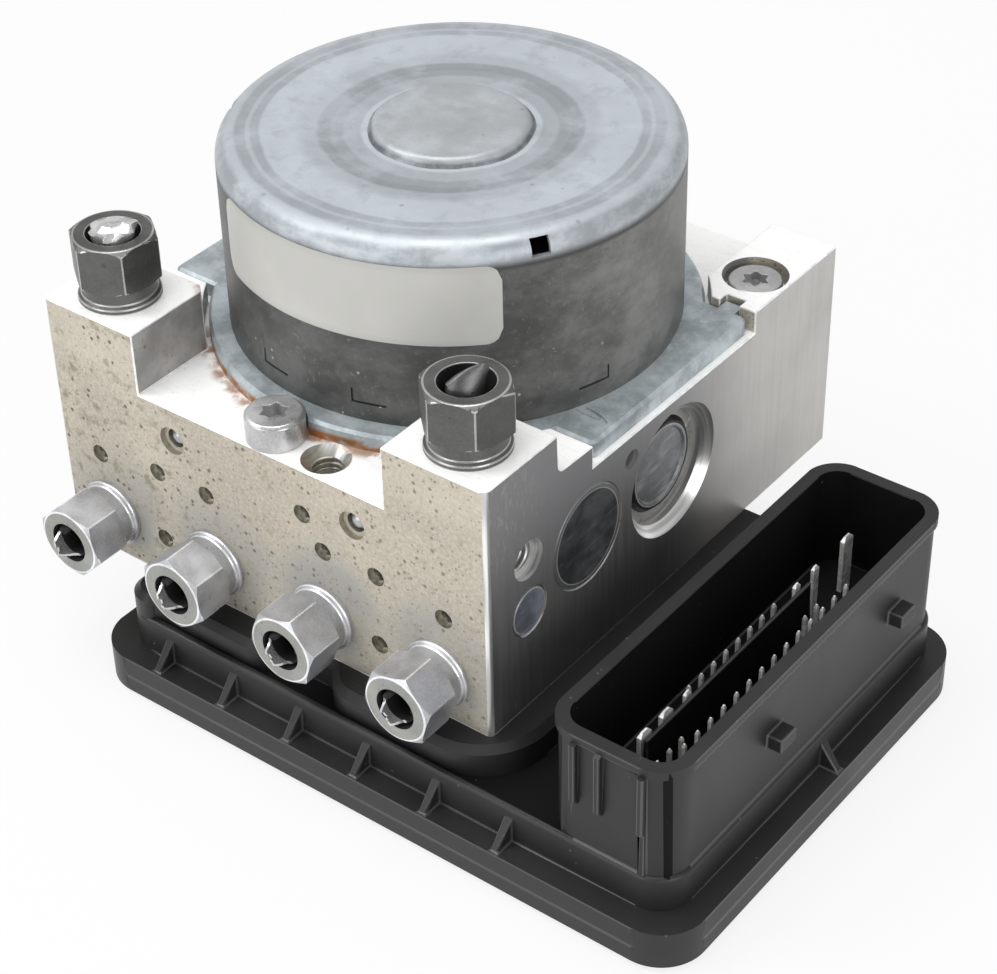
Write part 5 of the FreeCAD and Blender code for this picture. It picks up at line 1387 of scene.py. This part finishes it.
class MODULE_OT_block(bpy.types.Operator):
    """Valve block with bright eased edges, partly rubbed and partly a painted highlight"""

    bl_idname = "brake_module.block"
    bl_label = "Valve block"

    def execute(self, context):
        width = context.scene.module_sizes.block_edge
        mesh = eased("valve_block", "Block_body", width, 50, 1.2)
        for face in mesh.polygons:
            if not face.material_index and in_bore(face):
                face.material_index = 2
        finishes = ("block", "edge", "bore")
        add_piece("Block_body", mesh, finishes, ["valve_block"])
        return {"FINISHED"}


class MODULE_OT_threads(bpy.types.Operator):
    """Threads of the bracket and ledge holes"""

    bl_idname = "brake_module.threads"
    bl_label = "Threads"

    def execute(self, context):
        sizes = context.scene.module_sizes
        tree = thread_tree()
        x, y, z = SIDE_THREAD
        places = (
            ((x, y, z), (1, 0, 0), 4.4),
            ((2 * BLOCK_MIDDLE - x, y, z), (-1, 0, 0), 4.4),
            (LEDGE_THREAD, (0, 0, 1), 4.2),
        )
        made = []
        for base, direction, turns in places:
            values = {
                "Radius": THREAD_R * MM,
                "Pitch": sizes.thread_pitch,
                "Turns": turns,
                "Depth": sizes.thread_depth,
                "Material": materials["bore"],
            }
            mesh = grown(tree, values, "Thread")
            turn = Vector(direction).to_track_quat("Z", "Y").to_matrix().to_4x4()
            mesh.transform(Matrix.Translation(Vector(base) * MM) @ turn)
            made.append(mesh)
        mesh = joined("Block_threads", made)
        add_piece("Block_threads", mesh, ("bore",), smooth=0, weighted=False)
        return {"FINISHED"}


class MODULE_OT_line_nuts(bpy.types.Operator):
    """Pipe nuts with bores in painted shade and bright chamfers in painted highlight"""

    bl_idname = "brake_module.line_nuts"
    bl_label = "Line nuts"

    def execute(self, context):
        width = context.scene.module_sizes.nut_edge
        wheel = eased("wheel_line_nuts", "Wheel_nuts", width, 28, 0.5)
        mouth = BLOCK_FRONT - WHEEL_NUT_HEIGHT
        for face in wheel.polygons:
            x, y, z = face.center / MM
            outer = face.normal.y < -0.95 and y < mouth + 0.3
            gap = min(math.hypot(x - port_x, z - port_z) for port_x, port_z in WHEEL_PORTS)
            # Painted shade: faces in the bore past the mouth take the near-black bore shade
            if gap < WHEEL_BORE_R and y > mouth + 0.25:
                face.material_index = 3
            elif outer and not face.material_index:
                face.material_index = 2
        finishes = ("nut", "nut_edge", "nut_face", "soot")
        add_piece("Wheel_nuts", wheel, finishes, ["wheel_line_nuts"])
        master = eased("master_line_nuts", "Master_nuts", width, 28, 0.5)
        mouth = POST_TOP + MASTER_NUT_HEIGHT
        for face in master.polygons:
            x, y, z = face.center / MM
            gap = min(math.hypot(x - port_x, y - port_y) for port_x, port_y in MASTER_PORTS)
            # Painted shade: faces in the bore past the mouth take the near-black bore shade
            if gap < MASTER_BORE_R and z < mouth - 0.25:
                face.material_index = 2
        finishes = ("dark_nut", "dark_edge", "soot")
        add_piece("Master_nuts", master, finishes, ["master_line_nuts"])
        return {"FINISHED"}


class MODULE_OT_tube_ends(bpy.types.Operator):
    """Torn wheel tubes and crushed master tubes"""

    bl_idname = "brake_module.tube_ends"
    bl_label = "Tube ends"

    def execute(self, context):
        tube_r = context.scene.module_sizes.tube_r / MM
        upright = Matrix.Rotation(math.radians(90), 4, "X")
        made = []
        for number, (x, z) in enumerate(WHEEL_PORTS):
            tears = [(a + 6 * (number - 1.5), s, r * (1 - 0.08 * number)) for a, s, r in TEARS]
            end = WHEEL_NUT_HEIGHT - TUBE_SETBACK
            tube = torn_tube("Tube", tube_r, TUBE_WALL, TUBE_FOOT, end, tears)
            tube.transform(Matrix.Translation(Vector((x, BLOCK_FRONT, z)) * MM) @ upright)
            for face in tube.polygons:
                across = face.center.x - x * MM
                up = face.center.z - z * MM
                torn = across * 0.64 + up * 0.77 < -0.0011
                lip = face.center.y < (BLOCK_FRONT - WHEEL_NUT_HEIGHT + 1.1) * MM
                # Painted shade: all of the tube except its torn lip at the mouth takes the
                # near-black bore shade
                face.material_index = 0 if torn and lip else 1
            made.append(tube)
        add_piece(
            "Wheel_tubes",
            joined("Wheel_tubes", made),
            ("tube", "soot"),
            ["tube_ends"],
            smooth=30,
            weighted=False,
        )
        ends = (
            pressed_stub("Crushed", CRUSHED_SECTIONS, MASTER_NUT_HEIGHT, 0.11),
            pressed_stub("Pinched", PINCHED_SECTIONS, MASTER_NUT_HEIGHT, 0.04),
        )
        for number, (tube, (x, y)) in enumerate(zip(ends, MASTER_PORTS)):
            tube.transform(Matrix.Translation(Vector((x, y, POST_TOP)) * MM))
            for face in tube.polygons:
                face.material_index = number
        add_piece(
            "Master_tubes",
            joined("Master_tubes", ends),
            ("tube", "dark_tube"),
            smooth=24,
            weighted=False,
        )
        return {"FINISHED"}


class MODULE_OT_plugs(bpy.types.Operator):
    """Pressed balls and flush discs of the block"""

    bl_idname = "brake_module.plugs"
    bl_label = "Plugs and discs"

    def execute(self, context):
        paint("ball_plugs", "ball")
        paint("side_plugs", "side_disc")
        for side in ("left", "right"):
            paint(f"pump_cap_{side}", "pump_disc")
            paint(f"accumulator_cover_{side}", "cover_disc")
        return {"FINISHED"}


class MODULE_OT_screws(bpy.types.Operator):
    """Screws of the block and of the control unit"""

    bl_idname = "brake_module.screws"
    bl_label = "Screws"

    def execute(self, context):
        for node in ("cap_screw", "post_screw"):
            name = node.title() + "_body"
            mesh = eased(node, name, 0.15 * MM, 40, 0.3)
            add_piece(name, mesh, ("screw", "screw"), [node])
        paint("unit_screws", "screw")
        return {"FINISHED"}


def case_profile(case_r):
    """Outer skin from the foot up to the boss, and the inner skin back down."""
    wall, bend, boss, dish = CASE_WALL, CASE_BEND, BOSS_TOP, DISH
    corner = (case_r - bend, CAN_TOP - bend)
    profile = [(case_r, FLANGE_TOP), (case_r, CAN_TOP - bend - 3.0)]
    profile += arc(corner, bend, 0, 90, 12)
    profile += [(30.0, CAN_TOP), (25.0, CAN_TOP), (24.0, CAN_TOP - 0.08), (20.0, dish + 0.08)]
    profile += [(19.0, dish), (14.2, dish), (13.5, dish - 0.08), (13.15, dish)]
    profile += arc((11.6, boss - 1.15), 1.15, 0, 90, 6)[1:]
    profile += [(6.0, boss), (0.0, boss), (0.0, boss - wall), (11.0, boss - wall)]
    profile += [(12.6, dish - wall), (19.0, dish - wall), (25.0, CAN_TOP - wall)]
    profile += arc(corner, bend - wall, 90, 0, 6)
    return profile + [(case_r - wall, FLANGE_TOP)]


def case_cuts(case_r):
    """Boxes that cut the windows of the shoulder and the outlines of the tabs."""
    boxes = []
    low, high = WINDOW_HEIGHTS
    for angle in WINDOW_ANGLES:
        boxes.append(((case_r - 2.4, -1.5, low), (case_r + 1, 1.5, high), angle))
    foot = TAB_FOOT
    for angle in TAB_ANGLES:
        side = 1 if -60 < angle < 120 else -1
        low, high = sorted((side * 2.5, side * 2.9))
        boxes.append(((case_r - 0.5, -2.9, foot), (case_r + 1, 2.9, foot + 0.45), angle))
        boxes.append(((case_r - 0.5, low, foot + 0.2), (case_r + 1, high, foot + 2.6), angle))
    return boxes


class MODULE_OT_motor(bpy.types.Operator):
    """Turned motor case with its windows and tabs, its flange and its label"""

    bl_idname = "brake_module.motor"
    bl_label = "Motor case"

    def execute(self, context):
        case_r = context.scene.module_sizes.case_r / MM
        mesh = cut(
            spun("Motor_case", case_profile(case_r)),
            blocks("Case_cuts", case_cuts(case_r)),
            "Motor_case",
        )
        add_piece("Motor_case", mesh, ("can",), ["motor_can"], smooth=32)
        paint("motor_flange", "flange")
        label = wrapped_label(case_r)
        add_piece(
            "Motor_label", label, ("label",), ["motor_label"], weighted=False
        )
        return {"FINISHED"}


class MODULE_OT_inside(bpy.types.Operator):
    """Parts inside the motor, the block and the control unit"""

    bl_idname = "brake_module.inside"
    bl_label = "Inner parts"

    def execute(self, context):
        finishes = {
            "motor_shaft": "inner",
            "lower_bearing": "inner",
            "upper_bearing": "inner",
            "eccentric_ring": "inner",
            "commutator": "inner",
            "armature_core": "stack",
            "armature_winding": "copper",
            "contact_stem": "copper",
            "motor_magnets": "ferrite",
            "motor_brushes": "carbon",
            "brush_holder": "holder",
            "valve_coils": "coil",
            "circuit_board": "board",
            "unit_seal": "seal",
        }
        pump_parts = ("inlet_", "outlet_", "pump_sleeve", "pump_piston", "accumulator_piston")
        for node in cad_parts:
            if "spring" in node:
                finishes[node] = "spring"
            elif node.startswith(pump_parts):
                finishes[node] = "inner"
        for node, finish in finishes.items():
            paint(node, finish)
        return {"FINISHED"}


def in_chamber(face):
    """Whether a face of the unit lies in the socket's chamber or on the deck."""
    x, y, z = face.center / MM
    deck = face.normal.z > 0.9 and DECK_HEIGHTS[0] < z < DECK_HEIGHTS[1]
    chamber = (
        CHAMBER_LOW[0] < x < CHAMBER_HIGH[0]
        and CHAMBER_LOW[1] < y < CHAMBER_HIGH[1]
        and z < CHAMBER_TOP
    )
    return deck or chamber


class MODULE_OT_unit(bpy.types.Operator):
    """Control unit housing and cover"""

    bl_idname = "brake_module.unit"
    bl_label = "Control unit"

    def execute(self, context):
        width = context.scene.module_sizes.plastic_edge
        for node, name, finish, slot in (
            ("unit_housing", "Unit_body", "housing", "unit_plastic"),
            ("unit_cover", "Unit_lid", "cover", "cover_plastic"),
        ):
            mesh = eased(node, name, width, 50, 1.2)
            for face in mesh.polygons:
                # Painted shade: faces in the socket's chamber and on the deck take the darkened
                # plastic
                if not face.material_index and in_chamber(face):
                    face.material_index = 2
            add_piece(name, mesh, (finish, "rubbed", "matt"), [node])
        return {"FINISHED"}


class MODULE_OT_contacts(bpy.types.Operator):
    """Blades and pins in the socket"""

    bl_idname = "brake_module.contacts"
    bl_label = "Contacts"

    def execute(self, context):
        tip = context.scene.module_sizes.contact_tip
        for name, node, rows, length in (
            ("Blades", "blade_contacts", BLADE_ROWS, tip),
            ("Pins", "pin_contacts", PIN_ROWS, tip * 0.8),
        ):
            mesh = contact_rows(name, rows, length)
            add_piece(name, mesh, ("tin",), [node], smooth=0, weighted=False)
        return {"FINISHED"}


class MODULE_PT_panel(bpy.types.Panel):
    """Lists the pieces and their settings"""

    bl_idname = "MODULE_PT_panel"
    bl_label = "Brake module"
    bl_space_type = "VIEW_3D"
    bl_region_type = "UI"
    bl_category = "Brake module"

    def draw(self, context):
        layout = self.layout
        for operator in OPERATORS:
            layout.operator(operator.bl_idname)
        for group in (context.scene.module_sizes, context.scene.module_finish):
            for name in group.bl_rna.properties.keys():
                if name not in ("rna_type", "name"):
                    layout.prop(group, name)


OPERATORS = (
    MODULE_OT_stage,
    MODULE_OT_block,
    MODULE_OT_threads,
    MODULE_OT_line_nuts,
    MODULE_OT_tube_ends,
    MODULE_OT_plugs,
    MODULE_OT_screws,
    MODULE_OT_motor,
    MODULE_OT_inside,
    MODULE_OT_unit,
    MODULE_OT_contacts,
)
CLASSES = (ModuleSizes, ModuleFinish, *OPERATORS, MODULE_PT_panel)


def register():
    for each in CLASSES:
        bpy.utils.register_class(each)
    bpy.types.Scene.module_sizes = bpy.props.PointerProperty(type=ModuleSizes)
    bpy.types.Scene.module_finish = bpy.props.PointerProperty(type=ModuleFinish)


def unregister():
    del bpy.types.Scene.module_sizes
    del bpy.types.Scene.module_finish
    for each in reversed(CLASSES):
        bpy.utils.unregister_class(each)


def main():
    register()
    build_shared_groups()
    build_materials(bpy.context.scene.module_finish)
    for operator in OPERATORS:
        area, name = operator.bl_idname.split(".")
        getattr(getattr(bpy.ops, area), name)()


if __name__ == "__main__":
    main()
